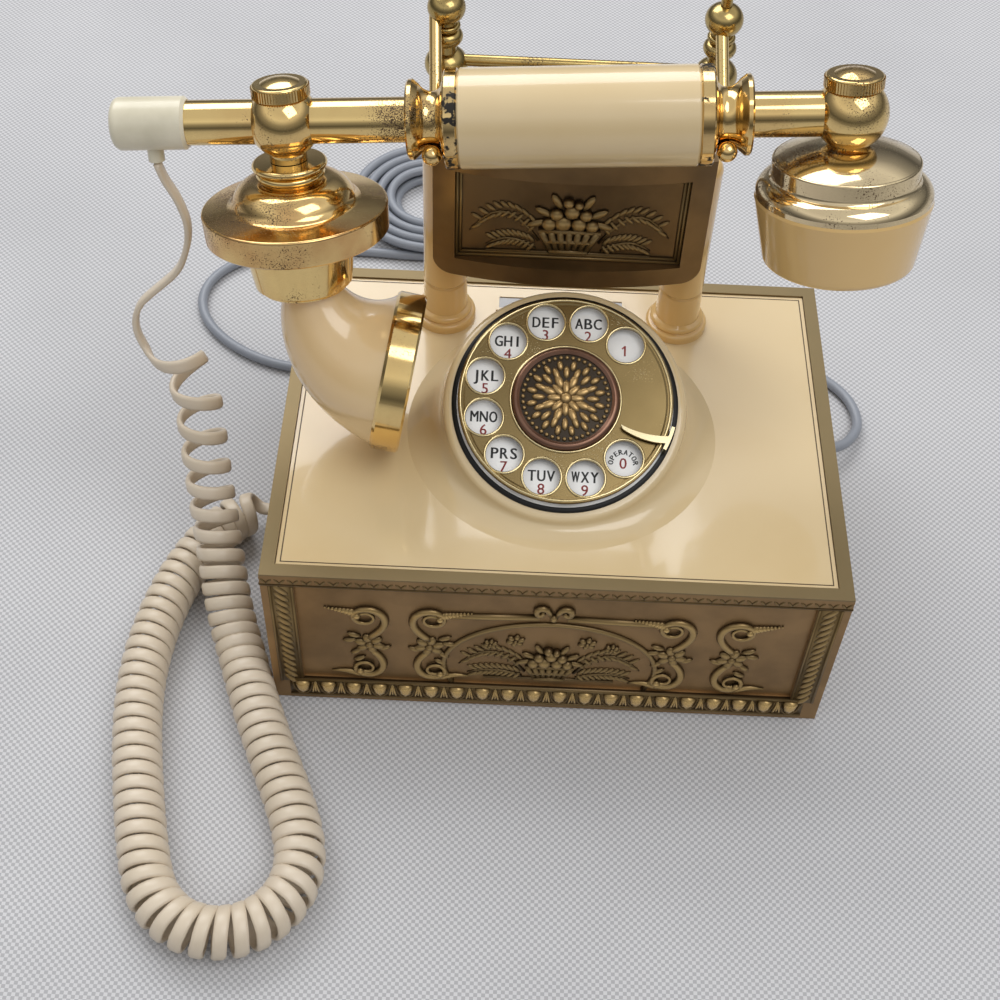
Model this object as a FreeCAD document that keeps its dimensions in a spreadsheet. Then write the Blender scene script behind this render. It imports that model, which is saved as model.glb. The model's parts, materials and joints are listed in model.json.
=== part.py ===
import FreeCAD
import Part
import math
import os
import re
import Sketcher
from FreeCAD import Placement, Rotation, Vector

# A desk telephone in the old French style: a footed metal case with an ivory top and dial boss, two
# columns with a sprung fork, and a bar handset with a horn mouthpiece.
# Millimetres. +X right, +Y to the back, +Z up, origin on the desk under the middle of the case.

SIZES = [
    # case
    ("case_width", 204.0), ("case_depth", 154.3), ("case_height", 76.8), ("case_wall", 3.6),
    ("rim_width", 5.0), ("rim_depth", 7.0), ("ledge_width", 3.0), ("panel_recess", 1.6),
    ("corner_width", 11.5), ("plinth_height", 13.0), ("cornice_height", 5.5),
    ("post_radius", 5.0), ("post_height", 20.0), ("bottom_gap", 2.0), ("bottom_thick", 1.5),
    ("foot_radius", 7.0), ("foot_inset", 26.0), ("screw_radius", 1.25), ("screw_head", 3.0),
    ("screw_length", 10.0), ("plate_thick", 3.0), ("plate_drop", 0.8), ("seat_gap", 0.2),
    # card holder behind the dial
    ("card_length", 51.0), ("card_width", 8.6), ("card_share", 0.415), ("card_rise", 1.0),
    ("card_border", 1.2),
    # dial, measured along its own sloping axis from the face of the finger wheel
    ("dial_x", 0.9), ("dial_y", -13.6), ("dial_rise", 26.0), ("dial_tilt", 24.3),
    ("boss_radius", 43.5), ("boss_foot", 57.0), ("boss_wall", 3.2), ("boss_drop", 5.0),
    ("foot_back", 9.7), ("flare_share", 0.45), ("flare_spread", 2.6),
    ("well_radius", 36.5), ("wheel_radius", 38.2), ("wheel_thick", 1.6), ("hole_circle", 29.7),
    ("hole_radius", 6.6), ("first_hole", 45.4), ("hole_step", 30.0), ("hub_radius", 19.1),
    ("hub_inner", 16.4), ("hub_rise", 1.9), ("medal_rise", 1.3), ("number_thick", 1.0),
    ("number_radius", 38.6), ("gasket_radius", 40.4), ("gasket_rise", 0.9), ("lip_round", 2.2),
    ("shaft_radius", 2.5), ("run_gap", 0.06), ("frame_thick", 2.0), ("bridge_drop", 28.0),
    ("frame_post", 2.2), ("frame_post_circle", 31.0), ("stop_angle", -22.0),
    ("stop_thick", 1.2), ("stop_gap", 0.7),
    ("gear_module", 0.6), ("main_teeth", 70.0), ("pinion_teeth", 14.0), ("gear_thick", 1.5),
    ("gear_play", 0.5), ("governor_teeth", 40.0), ("worm_teeth", 10.0), ("governor_radius", 7.0),
    ("arbor_radius", 1.2), ("arbor_angle", 200.0), ("governor_turn", 285.0), ("cam_radius", 3.4),
    ("spring_radius", 8.0),
    # ringer
    ("ringer_x", 0.0), ("ringer_y", -34.0), ("network_x", -68.0), ("gong_radius", 23.0), ("gong_wall", 1.6),
    ("gong_height", 11.0), ("gong_pitch", 59.0), ("gong_lift", 16.0), ("clapper_length", 24.0),
    ("clapper_ball", 3.4), ("coil_radius", 8.0), ("coil_height", 22.0), ("ringer_thick", 2.0),
    ("network_y", 10.0), ("network_width", 40.0), ("network_depth", 60.0), ("network_height", 24.0),
    # columns, cradle panel, fork and hook switch
    ("column_pitch", 90.6), ("column_y", 54.5), ("column_foot", 11.8), ("column_low", 8.6),
    ("column_mid", 8.3), ("column_top", 8.4), ("column_height", 80.5), ("column_joint", 20.0),
    ("rod_radius", 3.1), ("panel_width", 98.6), ("panel_rise", 34.2), ("panel_height", 56.0),
    ("panel_front", 35.0), ("panel_bow", 6.0), ("panel_floor", 7.0), ("panel_frame", 8.0),
    ("panel_corner", 7.0), ("low_ball", 6.5), ("low_ball_rise", 115.7),
    ("bead_radius", 5.0), ("ring_radius", 4.2), ("top_ball", 5.5), ("top_ball_rise", 137.2),
    ("tip_radius", 1.9), ("tip_height", 9.0), ("bar_radius", 2.0), ("bar_rise", 1.5),
    ("hook_radius", 2.1), ("hook_gap", 0.3), ("hook_open", 28.0), ("hook_ball", 3.3),
    ("yoke_drop", 16.8), ("yoke_size", 6.0), ("lever_length", 18.0), ("lever_gap", 0.4),
    # handset, along its bar from the middle of the grip
    ("bar_y", 18.0), ("handset_rise", 123.7), ("bar_tilt", 4.16), ("bar_roll", 17.0),
    ("tube_radius", 7.2), ("tube_bore", 5.5), ("tube_right", 78.4),
    ("grip_left", 39.2), ("grip_right", 36.8), ("grip_radius", 15.9), ("collar_width", 4.5),
    ("waist_radius", 8.8), ("spool_width", 12.0), ("flange_radius", 12.7), ("flange_width", 3.7),
    ("left_ball", 95.7), ("right_ball", 84.6), ("ball_radius", 11.8), ("ball_flat", 8.0),
    ("nut_radius", 9.1), ("nut_height", 4.9), ("nut_cap", 6.4), ("cap_left", 151.2),
    ("cap_right", 126.8), ("cap_overlap", 6.0), ("cap_radius", 8.5), ("cap_exit", 139.0),
    ("nozzle_radius", 2.7), ("nozzle_length", 4.0),
    ("mouth_lean", 0.8), ("neck_radius", 6.1), ("neck_end", 12.6), ("collar_ring", 12.0),
    ("collar_end", 19.2), ("disc_radius", 31.0), ("disc_rim", 28.4), ("disc_end", 38.0),
    ("cup_top", 19.3), ("cup_low", 16.6), ("cup_end", 57.4), ("horn_root", 13.4),
    ("horn_start", 9.2), ("horn_shift", 2.6), ("horn_turn", 75.8), ("horn_pivot", 32.8),
    ("horn_near", 8.4), ("horn_mouth", 26.6),
    ("horn_wall", 2.2), ("ring_width", 10.3), ("ring_outer", 28.2), ("ring_inner", 23.6),
    ("grille_thick", 2.0), ("ear_top", 9.0), ("ear_dome", 23.8), ("ear_band", 14.8),
    ("ear_flare", 20.6), ("ear_rim", 28.5), ("ear_rim_end", 27.0), ("ear_wall", 1.6),
    ("ear_low", 25.2), ("ear_end", 50.5), ("capsule_radius", 18.6), ("capsule_height", 10.0),
    # cords
    ("curl_exit", 6.0), ("line_exit", 52.0), ("exit_height", 8.0), ("relief_length", 9.0),
    ("relief_radius", 3.6), ("curl_radius", 7.8), ("curl_side", 2.8), ("line_radius", 2.2),
    ("coil_loop", 27.0), ("coil_pitch", 5.6), ("plug_length", 21.0), ("plug_width", 11.6),
    ("plug_height", 7.0),
]

doc = FreeCAD.newDocument("telephone")
sheet = doc.addObject("Spreadsheet::Sheet", "Sizes")
for row, (alias, number) in enumerate(SIZES, 1):
    sheet.set("A%d" % row, alias)
    sheet.set("B%d" % row, str(number))
    sheet.setAlias("B%d" % row, alias)
doc.recompute()

ALIASES = set(alias for alias, number in SIZES)
subparts = []

# Heights above the desk, and the card holder's place between the dial boss and the rim
PANEL_BOTTOM = "(case_height + panel_rise)"
LOW_BALL = "(case_height + low_ball_rise)"
TOP_BALL = "(case_height + top_ball_rise)"
YOKE = "(case_height - yoke_drop)"
CARD_Y = "((dial_y + foot_back + boss_foot) * (1 - card_share) + (case_depth / 2 - rim_width) * card_share)"


def size(alias):
    return float(sheet.get(alias))


def bound(text):
    """An expression over the sheet, from one that uses the bare names of its cells."""
    return re.sub(r"[a-z][a-z_]*", lambda m: "Sizes." + m[0] if m[0] in ALIASES else m[0], text)


def value(text):
    return float(sheet.evalExpression(bound(text)))


def body_named(label):
    body = doc.addObject("PartDesign::Body", label)
    body.Label = label
    subparts.append(body)
    return body


def shape_named(label, shape, placement=Placement()):
    feature = doc.addObject("Part::Feature", label)
    feature.Label = label
    feature.Shape = shape
    feature.Placement = placement
    subparts.append(feature)
    return feature


def grouped(label, members):
    """One node that holds several separate solids."""
    group = doc.addObject("Part::Compound", label)
    group.Label = label
    group.Links = members
    subparts[:] = [part for part in subparts if part not in members] + [group]


def sketch_on(body, role, offset="0"):
    """A sketch on one of the body's planes, moved along its normal."""
    sketch = body.newObject("Sketcher::SketchObject", "Sketch")
    plane = next(f for f in body.Origin.OriginFeatures if f.Role == role)
    sketch.AttachmentSupport = [(plane, "")]
    sketch.MapMode = "FlatFace"
    if offset != "0":
        sketch.setExpression("AttachmentOffset.Base.z", bound(offset))
    return sketch


def fix_point(rules, ties, geometry, end, point):
    """Holds one end of a line or arc at the two named distances from the sketch's axes."""
    for text, kind, axis in zip(point, ("DistanceX", "DistanceY"), (-2, -1)):
        if text == "0":
            rules.append(Sketcher.Constraint("PointOnObject", geometry, end, axis))
        else:
            rules.append(Sketcher.Constraint(kind, -1, 1, geometry, end, value(text)))
            ties.append((len(rules) - 1, bound(text)))


def add_rules(sketch, rules, ties):
    first = sketch.ConstraintCount
    sketch.addConstraint(rules)
    for index, text in ties:
        sketch.setExpression("Constraints[%d]" % (first + index), text)


def outline(sketch, points):
    """A closed outline. A point is (x, y), or (x, y, bulge) where the next edge is an arc: its bulge
    is its height over half its chord, positive to the right of the way round."""
    first = sketch.GeometryCount
    rules = []
    ties = []
    ends = []
    corners = [Vector(value(p[0]), value(p[1]), 0) for p in points]
    for i, point in enumerate(points):
        start = corners[i]
        stop = corners[(i + 1) % len(points)]
        ends.append(1)
        if len(point) == 2:
            sketch.addGeometry(Part.LineSegment(start, stop), False)
            continue
        chord = stop - start
        top = (start + stop) / 2 + Vector(chord.y, -chord.x, 0) * point[2] / 2
        if point[2] < 0:
            start, stop = stop, start
            ends[i] = 2
        sketch.addGeometry(Part.Arc(start, top, stop), False)
        rules.append(Sketcher.Constraint("Angle", first + i, 4 * math.atan(abs(point[2]))))
    for i, point in enumerate(points):
        j = (i + 1) % len(points)
        rules.append(Sketcher.Constraint("Coincident", first + i, 3 - ends[i], first + j, ends[j]))
        fix_point(rules, ties, first + i, ends[i], point[:2])
    add_rules(sketch, rules, ties)


def rectangle(sketch, left, right, low, high):
    outline(sketch, [(left, low), (right, low), (right, high), (left, high)])


def circle(sketch, x, y, radius):
    number = sketch.GeometryCount
    centre = Vector(value(x), value(y), 0)
    sketch.addGeometry(Part.Circle(centre, Vector(0, 0, 1), value(radius)), False)
    rules = [Sketcher.Constraint("Radius", number, value(radius))]
    ties = [(0, bound(radius))]
    fix_point(rules, ties, number, 3, (x, y))
    add_rules(sketch, rules, ties)


def pad(body, sketch, length, kind="Pad", reverse=False):
    feature = body.newObject("PartDesign::" + kind, kind)
    feature.Profile = sketch
    feature.setExpression("Length", bound(length))
    feature.Reversed = reverse
    return feature


def dome(run, rise):
    """The bulge of an arc that ends square to the axis of a turned piece."""
    return math.tan(math.atan2(value(rise), value(run)) / 2)


def spin_outline(body, points, along="z"):
    sketch = sketch_on(body, "XZ_Plane" if along == "z" else "XY_Plane")
    outline(sketch, points)
    spin = body.newObject("PartDesign::Revolution", "Revolution")
    spin.Profile = sketch
    spin.ReferenceAxis = (sketch, ["V_Axis" if along == "z" else "H_Axis"])
    spin.Angle = 360


def turned(label, points, placement=None, along="z"):
    """A lathe-turned piece. Points are (radius, height), or (station, radius) about the X axis."""
    body = body_named(label)
    spin_outline(body, points, along)
    if placement is not None:
        body.Placement = placement
    return body


def drill(body, role, offset, holes, depth, reverse=False):
    """Round holes (x, y, radius) cut from one sketch."""
    sketch = sketch_on(body, role, offset)
    for x, y, radius in holes:
        circle(sketch, x, y, radius)
    return pad(body, sketch, depth, "Pocket", reverse)


def settle(body, x="0", y="0", z="0"):
    for axis, text in zip("xyz", (x, y, z)):
        if text != "0":
            body.setExpression("Placement.Base." + axis, bound(text))


def rod(start, stop, radius):
    along = stop - start
    return Part.makeCylinder(radius, along.Length, start, along)


def block(low, high):
    return Part.makeBox(high.x - low.x, high.y - low.y, high.z - low.z, low)


# Case


def make_case_frame():
    body = body_named("case_frame")
    sketch = sketch_on(body, "XY_Plane")
    rectangle(sketch, "-case_width / 2", "case_width / 2", "-case_depth / 2", "case_depth / 2")
    pad(body, sketch, "case_height")
    inside = sketch_on(body, "XY_Plane")
    rectangle(inside, "case_wall - case_width / 2", "case_width / 2 - case_wall",
              "case_wall - case_depth / 2", "case_depth / 2 - case_wall")
    pad(body, inside, "case_height - rim_depth", "Pocket", True)
    for inset, depth in (("rim_width + ledge_width", "rim_depth"),
                         ("rim_width", "plate_thick + plate_drop")):
        well = sketch_on(body, "XY_Plane", "case_height")
        rectangle(well, "%s - case_width / 2" % inset, "case_width / 2 - (%s)" % inset,
                  "%s - case_depth / 2" % inset, "case_depth / 2 - (%s)" % inset)
        pad(body, well, depth, "Pocket")
    for role, half, breadth, reverse in (
            ("XZ_Plane", "case_depth / 2", "case_width", False),
            ("XZ_Plane", "-case_depth / 2", "case_width", True),
            ("YZ_Plane", "case_width / 2", "case_depth", False),
            ("YZ_Plane", "-case_width / 2", "case_depth", True)):
        field = sketch_on(body, role, half)
        rectangle(field, "corner_width - %s / 2" % breadth, "%s / 2 - corner_width" % breadth,
                  "plinth_height", "case_height - cornice_height")
        pad(body, field, "panel_recess", "Pocket", reverse)
    posts = sketch_on(body, "XY_Plane", "bottom_gap + bottom_thick")
    for x, y in CASE_CORNERS:
        circle(posts, x, y, "post_radius")
    pad(body, posts, "post_height")
    drill(body, "XY_Plane", "bottom_gap + bottom_thick",
          [(x, y, "screw_radius + run_gap") for x, y in CASE_CORNERS], "screw_length", True)
    drill(body, "YZ_Plane", "case_width / 2", [("line_exit", "exit_height", "relief_radius")],
          "case_wall * 2")
    drill(body, "YZ_Plane", "-case_width / 2", [("curl_exit", "exit_height", "relief_radius")],
          "case_wall * 2", True)


def make_bottom():
    body = body_named("bottom_plate")
    sketch = sketch_on(body, "XY_Plane", "bottom_gap")
    inset = "case_wall + seat_gap"
    rectangle(sketch, "%s - case_width / 2" % inset, "case_width / 2 - (%s)" % inset,
              "%s - case_depth / 2" % inset, "case_depth / 2 - (%s)" % inset)
    for x, y in CASE_CORNERS:
        circle(sketch, x, y, "screw_radius + run_gap")
    pad(body, sketch, "bottom_thick")
    across = size("case_width") / 2 - size("foot_inset")
    deep = size("case_depth") / 2 - size("foot_inset")
    feet = [rod(Vector(x, y, 0), Vector(x, y, size("bottom_gap")), size("foot_radius"))
            for x in (-across, across) for y in (-deep, deep)]
    shape_named("rubber_feet", Part.makeCompound(feet))
    screws = []
    for x, y in CASE_CORNERS:
        under = Vector(value(x), value(y), size("bottom_gap"))
        tip = under + Vector(0, 0, size("bottom_thick") + size("screw_length") - size("run_gap"))
        head = rod(under - Vector(0, 0, size("screw_head") / 2), under, size("screw_head"))
        screws.append(head.fuse(rod(under, tip, size("screw_radius"))).removeSplitter())
    shape_named("bottom_screws", Part.makeCompound(screws))


def make_top_plate():
    body = body_named("top_plate")
    top = "case_height - plate_drop"
    sketch = sketch_on(body, "XY_Plane", top)
    inset = "rim_width + seat_gap"
    rectangle(sketch, "%s - case_width / 2" % inset, "case_width / 2 - (%s)" % inset,
              "%s - case_depth / 2" % inset, "case_depth / 2 - (%s)" % inset)
    pad(body, sketch, "plate_thick", reverse=True)
    outer = boss_rings(body, 0.0)
    loft = body.newObject("PartDesign::AdditiveLoft", "Boss")
    loft.Profile = outer[0]
    loft.Sections = outer[1:]
    inner = boss_rings(body, size("boss_wall"))
    hollow = body.newObject("PartDesign::SubtractiveLoft", "Hollow")
    hollow.Profile = inner[0]
    hollow.Sections = inner[1:]
    well = sketch_on(body, "XY_Plane")
    tilt_sketch(well, "dial_y", "case_height + dial_rise", "dial_tilt")
    circle(well, "0", "0", "well_radius")
    bored = pad(body, well, "boss_radius * 2", "Pocket")
    doc.recompute()
    lip = body.newObject("PartDesign::Fillet", "Lip")
    lip.Base = (bored, ["Edge%d" % (i + 1) for i, edge in enumerate(bored.Shape.Edges) if on_lip(edge)])
    lip.setExpression("Radius", bound("lip_round"))
    drill(body, "XY_Plane", top, [(x, "column_y", "rod_radius + seat_gap") for x in COLUMN_X],
          "plate_thick")


def on_lip(edge):
    """Whether an edge of the top plate is the outer edge of the dial boss's rim."""
    seen = [DIAL.inverse().multVec(vertex) for vertex in edge.discretize(5)]
    return all(abs(math.hypot(p.x, p.y) - size("boss_radius")) < 0.05 and abs(p.z + size("boss_drop")) < 0.05
               for p in seen)


def tilt_sketch(sketch, y, z, turn):
    """Puts a sketch of the top plate on the dial's sloping axis."""
    sketch.AttachmentOffset = Placement(Vector(), Rotation(Vector(1, 0, 0), value(turn)))
    sketch.setExpression("AttachmentOffset.Base.x", bound("dial_x"))
    sketch.setExpression("AttachmentOffset.Base.y", bound(y))
    sketch.setExpression("AttachmentOffset.Base.z", bound(z))
    if turn != "0":
        sketch.setExpression("AttachmentOffset.Rotation.Angle", bound(turn))


def boss_rings(body, wall):
    """Three circles that carry the flare of the dial boss, or of its hollow, from plate to rim."""
    drop = "(boss_drop + %s)" % wall
    foot_z = "(case_height - plate_drop)"
    if wall > 0:
        foot_z = "(case_height - plate_drop - plate_thick - 1)"
    foot_y = "(dial_y + foot_back)"
    rim_y = "(dial_y + sin(dial_tilt) * %s)" % drop
    rim_z = "(case_height + dial_rise - cos(dial_tilt) * %s)" % drop
    between = "%s * (1 - flare_share) + %s * flare_share"
    rings = ((foot_y, foot_z, "0", "boss_foot"),
             (between % (foot_y, rim_y), between % (foot_z, rim_z), "dial_tilt * flare_share",
              "boss_radius + flare_spread"),
             (rim_y, rim_z, "dial_tilt", "boss_radius"))
    sketches = []
    for y, z, turn, radius in rings:
        sketch = sketch_on(body, "XY_Plane")
        tilt_sketch(sketch, y, z, turn)
        circle(sketch, "0", "0", "%s - %s" % (radius, wall))
        sketches.append(sketch)
    return sketches


def make_card():
    top = "case_height - plate_drop"
    body = body_named("card_frame")
    sketch = sketch_on(body, "XY_Plane", top)
    rectangle(sketch, "-card_length / 2", "card_length / 2", CARD_Y + " - card_width / 2",
              CARD_Y + " + card_width / 2")
    rectangle(sketch, "card_border - card_length / 2", "card_length / 2 - card_border",
              CARD_Y + " - card_width / 2 + card_border", CARD_Y + " + card_width / 2 - card_border")
    pad(body, sketch, "card_rise")
    window = body_named("card_window")
    sketch = sketch_on(window, "XY_Plane", top)
    rectangle(sketch, "card_border - card_length / 2", "card_length / 2 - card_border",
              CARD_Y + " - card_width / 2 + card_border", CARD_Y + " + card_width / 2 - card_border")
    pad(window, sketch, "card_rise * 0.6")


CASE_CORNERS = [(x + "(case_width / 2 - case_wall - post_radius + 0.5)",
                 y + "(case_depth / 2 - case_wall - post_radius + 0.5)")
                for x in ("", "-") for y in ("", "-")]
COLUMN_X = ("-column_pitch / 2", "column_pitch / 2")

# Dial. Every piece is drawn about the dial's own axis and then set on the slope.

DIAL = Placement(Vector(size("dial_x"), size("dial_y"), size("case_height") + size("dial_rise")),
                 Rotation(Vector(1, 0, 0), size("dial_tilt")))
NUMBER_FACE = "number_thick - boss_drop"


def make_finger_wheel():
    body = turned("finger_wheel", [
        ("shaft_radius", "-wheel_thick"), ("wheel_radius - 0.6", "-wheel_thick", 0.41),
        ("wheel_radius", "0.6 - wheel_thick"), ("wheel_radius", "-0.4", 0.41),
        ("wheel_radius - 0.4", "0"), ("wheel_radius - 2", "0"), ("wheel_radius - 2.6", "-0.3"),
        ("shaft_radius", "-0.3")], DIAL)
    sketch = sketch_on(body, "XY_Plane")
    circle(sketch, "hole_circle * cos(first_hole)", "hole_circle * sin(first_hole)", "hole_radius")
    cut = pad(body, sketch, "wheel_thick", "Pocket")
    ring = body.newObject("PartDesign::PolarPattern", "FingerHoles")
    ring.Originals = [cut]
    ring.Axis = (sketch, ["N_Axis"])
    ring.Occurrences = 10
    ring.setExpression("Angle", bound("hole_step * 9"))
    body.Tip = ring


def make_dial_face():
    turned("hub_ring", [("hub_inner", "-0.3"), ("hub_radius", "-0.3"), ("hub_radius", "0.7", 0.3),
                        ("hub_inner + 1", "hub_rise"), ("hub_inner", "hub_rise - 0.6")], DIAL)
    medal = "hub_inner - run_gap"
    turned("dial_medallion", [("0", "-0.3"), (medal, "-0.3"), (medal, "medal_rise - 0.5", dome(medal, "0.5")),
                              ("0", "medal_rise")], DIAL)
    bore = "shaft_radius + seat_gap"
    turned("number_plate", [(bore, "-boss_drop"), ("number_radius", "-boss_drop"),
                            ("number_radius", NUMBER_FACE), (bore, NUMBER_FACE)], DIAL)
    turned("dial_gasket", [("number_radius + run_gap", "-boss_drop"), ("gasket_radius", "-boss_drop"),
                           ("gasket_radius", "gasket_rise * 0.5 - boss_drop", 0.2),
                           ("number_radius + run_gap", "gasket_rise - boss_drop")], DIAL)


# The two edges of the finger stop's arm: shares of the wheel's radius, and degrees from the stop's angle
STOP_EDGES = (((1.024, 3.2), (0.804, -1.2), (0.566, -2.9)), ((1.028, -0.8), (0.838, -4.7), (0.602, -5.7)))
STOP_CLIP = (-4.5, 8.5)


def make_finger_stop():
    """A clip that stands on the gasket, with a thin curved arm that points in over the wheel."""
    gap = size("stop_gap")
    low = size("gasket_rise") - size("boss_drop")
    top = gap + size("stop_thick")
    foot = size("wheel_radius") + gap / 2
    clip = Part.makeCylinder(foot + size("stop_thick"), top - low, Vector(0, 0, low), Vector(0, 0, 1),
                             STOP_CLIP[1] - STOP_CLIP[0])
    clip = clip.cut(Part.makeCylinder(foot, top - low, Vector(0, 0, low)))
    clip.rotate(Vector(), Vector(0, 0, 1), STOP_CLIP[0])
    upper, lower = [[spoke(size("wheel_radius") * share, turn) + Vector(0, 0, gap) for share, turn in edge]
                    for edge in STOP_EDGES]
    rim = Part.Wire([Part.Arc(*upper).toShape(), Part.makeLine(upper[2], lower[2]),
                     Part.Arc(*lower[::-1]).toShape(), Part.makeLine(lower[0], upper[0])])
    arm = Part.Face(rim).extrude(Vector(0, 0, size("stop_thick")))
    swing = Placement(Vector(), Rotation(Vector(0, 0, 1), size("stop_angle")))
    shape_named("finger_stop", clip.fuse(arm).removeSplitter(), DIAL.multiply(swing))


def make_dial_frame():
    disc = Part.makeCylinder(size("well_radius") - size("seat_gap"), size("frame_thick"),
                             Vector(0, 0, -size("boss_drop") - size("frame_thick")))
    bridge = Part.makeCylinder(size("frame_post_circle") + 3, size("frame_thick"),
                               Vector(0, 0, -size("bridge_drop") - size("frame_thick")))
    shape = disc.fuse(bridge)
    for turn in (20.0, 110.0, 320.0):
        foot = spoke(size("frame_post_circle"), turn) + Vector(0, 0, -size("bridge_drop") - 1)
        head = Vector(foot.x, foot.y, -size("boss_drop") - 1)
        shape = shape.fuse(rod(foot, head, size("frame_post")))
    for centre, radius in ((Vector(), size("shaft_radius")), (ARBOR, size("arbor_radius")),
                           (GOVERNOR, size("arbor_radius"))):
        low = Vector(centre.x, centre.y, -size("bridge_drop") - 9)
        high = Vector(centre.x, centre.y, 0)
        shape = shape.cut(rod(low, high, radius + size("run_gap")))
    shape_named("dial_frame", shape.removeSplitter(), DIAL)


def spoke(length, degrees):
    turn = math.radians(degrees)
    return Vector(length * math.cos(turn), length * math.sin(turn), 0)


GEAR_PITCH = size("gear_module") * (size("main_teeth") + size("pinion_teeth")) / 2
TRAIN_PITCH = size("gear_module") * (size("governor_teeth") + size("worm_teeth")) / 2
ARBOR = spoke(GEAR_PITCH + size("gear_play"), size("arbor_angle"))
GOVERNOR = ARBOR + spoke(TRAIN_PITCH + size("gear_play"), size("governor_turn"))


def gear(teeth, bore, low, thick, phase):
    """A wheel with thin straight-flanked teeth, one of them at the phase angle."""
    pitch = size("gear_module") * teeth / 2
    root = pitch - size("gear_module")
    tip = pitch + size("gear_module") * 0.8
    step = 360.0 / teeth
    points = []
    for i in range(int(teeth)):
        middle = phase + i * step
        for radius, share in ((root, -0.28), (tip, -0.08), (tip, 0.08), (root, 0.28)):
            points.append(spoke(radius, middle + share * step) + Vector(0, 0, low))
    wheel = Part.Face(Part.makePolygon(points + points[:1])).extrude(Vector(0, 0, thick))
    if bore > 0:
        wheel = wheel.cut(Part.makeCylinder(bore, thick, Vector(0, 0, low)))
    return wheel


def make_dial_train():
    shaft_low = -size("bridge_drop") - size("frame_thick")
    end = "-bridge_drop - frame_thick"
    thick = "shaft_radius - run_gap"
    turned("dial_shaft", [("0", end), (thick, end), (thick, "-0.3"), ("0", "-0.3")], DIAL)
    main_low = -size("boss_drop") - size("frame_thick") - 3.4
    wheel = gear(size("main_teeth"), size("shaft_radius"), main_low, size("gear_thick"), 0.0)
    shape_named("main_gear", wheel, DIAL)
    pinion_phase = size("arbor_angle") + 180 + 180 / size("pinion_teeth")
    aligned = size("arbor_angle") / 360 * size("main_teeth")
    pinion_phase -= (aligned - round(aligned)) * 360 / size("pinion_teeth")
    pinion = gear(size("pinion_teeth"), 0, main_low - 0.5, size("gear_thick") + 1, pinion_phase)
    second_low = main_low - size("gear_thick") - 2.4
    second = gear(size("governor_teeth"), 0, second_low, size("gear_thick"), size("governor_turn"))
    tall = -shaft_low - size("boss_drop")
    arbor = Part.makeCylinder(size("arbor_radius"), tall, Vector(0, 0, shaft_low))
    cam = Part.makeCylinder(size("cam_radius"), size("gear_thick"), Vector(0, 0, second_low - 4))
    for side in (-1, 1):
        flat = block(Vector(-9, side * (size("cam_radius") * 0.6 + 2) - 2, second_low - 5),
                     Vector(9, side * (size("cam_radius") * 0.6 + 2) + 2, second_low))
        cam = cam.cut(flat)
    wheels = arbor.fuse([pinion, second, cam]).removeSplitter()
    shape_named("pulse_arbor", wheels, DIAL.multiply(Placement(ARBOR, Rotation())))
    worm_phase = size("governor_turn") + 180 + 180 / size("worm_teeth")
    worm = gear(size("worm_teeth"), 0, second_low - 0.5, size("gear_thick") + 1, worm_phase)
    drum = Part.makeCylinder(size("governor_radius"), 5, Vector(0, 0, second_low - 9))
    drum = drum.cut(block(Vector(-0.8, -9, second_low - 9.5), Vector(0.8, 9, second_low - 5.5)))
    spindle = Part.makeCylinder(size("arbor_radius"), tall, Vector(0, 0, shaft_low))
    shape_named("governor", spindle.fuse([worm, drum]).removeSplitter(),
                DIAL.multiply(Placement(GOVERNOR, Rotation())))
    seat = Vector(0, 0, -size("bridge_drop") + 0.4)
    spring = Part.makeCylinder(size("spring_radius"), 4, seat)
    spring = spring.cut(Part.makeCylinder(size("shaft_radius"), 4, seat))
    shape_named("return_spring", spring, DIAL)
    leaves = block(Vector(-4, -3, 0), Vector(4, 3, 7))
    for i in range(3):
        leaves = leaves.fuse(block(Vector(-3, 3, 1.5 + 2 * i), Vector(3, 15, 1.9 + 2 * i)))
    seat = Vector(ARBOR.x + 2, ARBOR.y + size("cam_radius") + 13, -size("bridge_drop"))
    shape_named("pulse_contacts", leaves.removeSplitter(), DIAL.multiply(Placement(seat, Rotation())))


# Ringer, on the bottom plate under the dial


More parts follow.
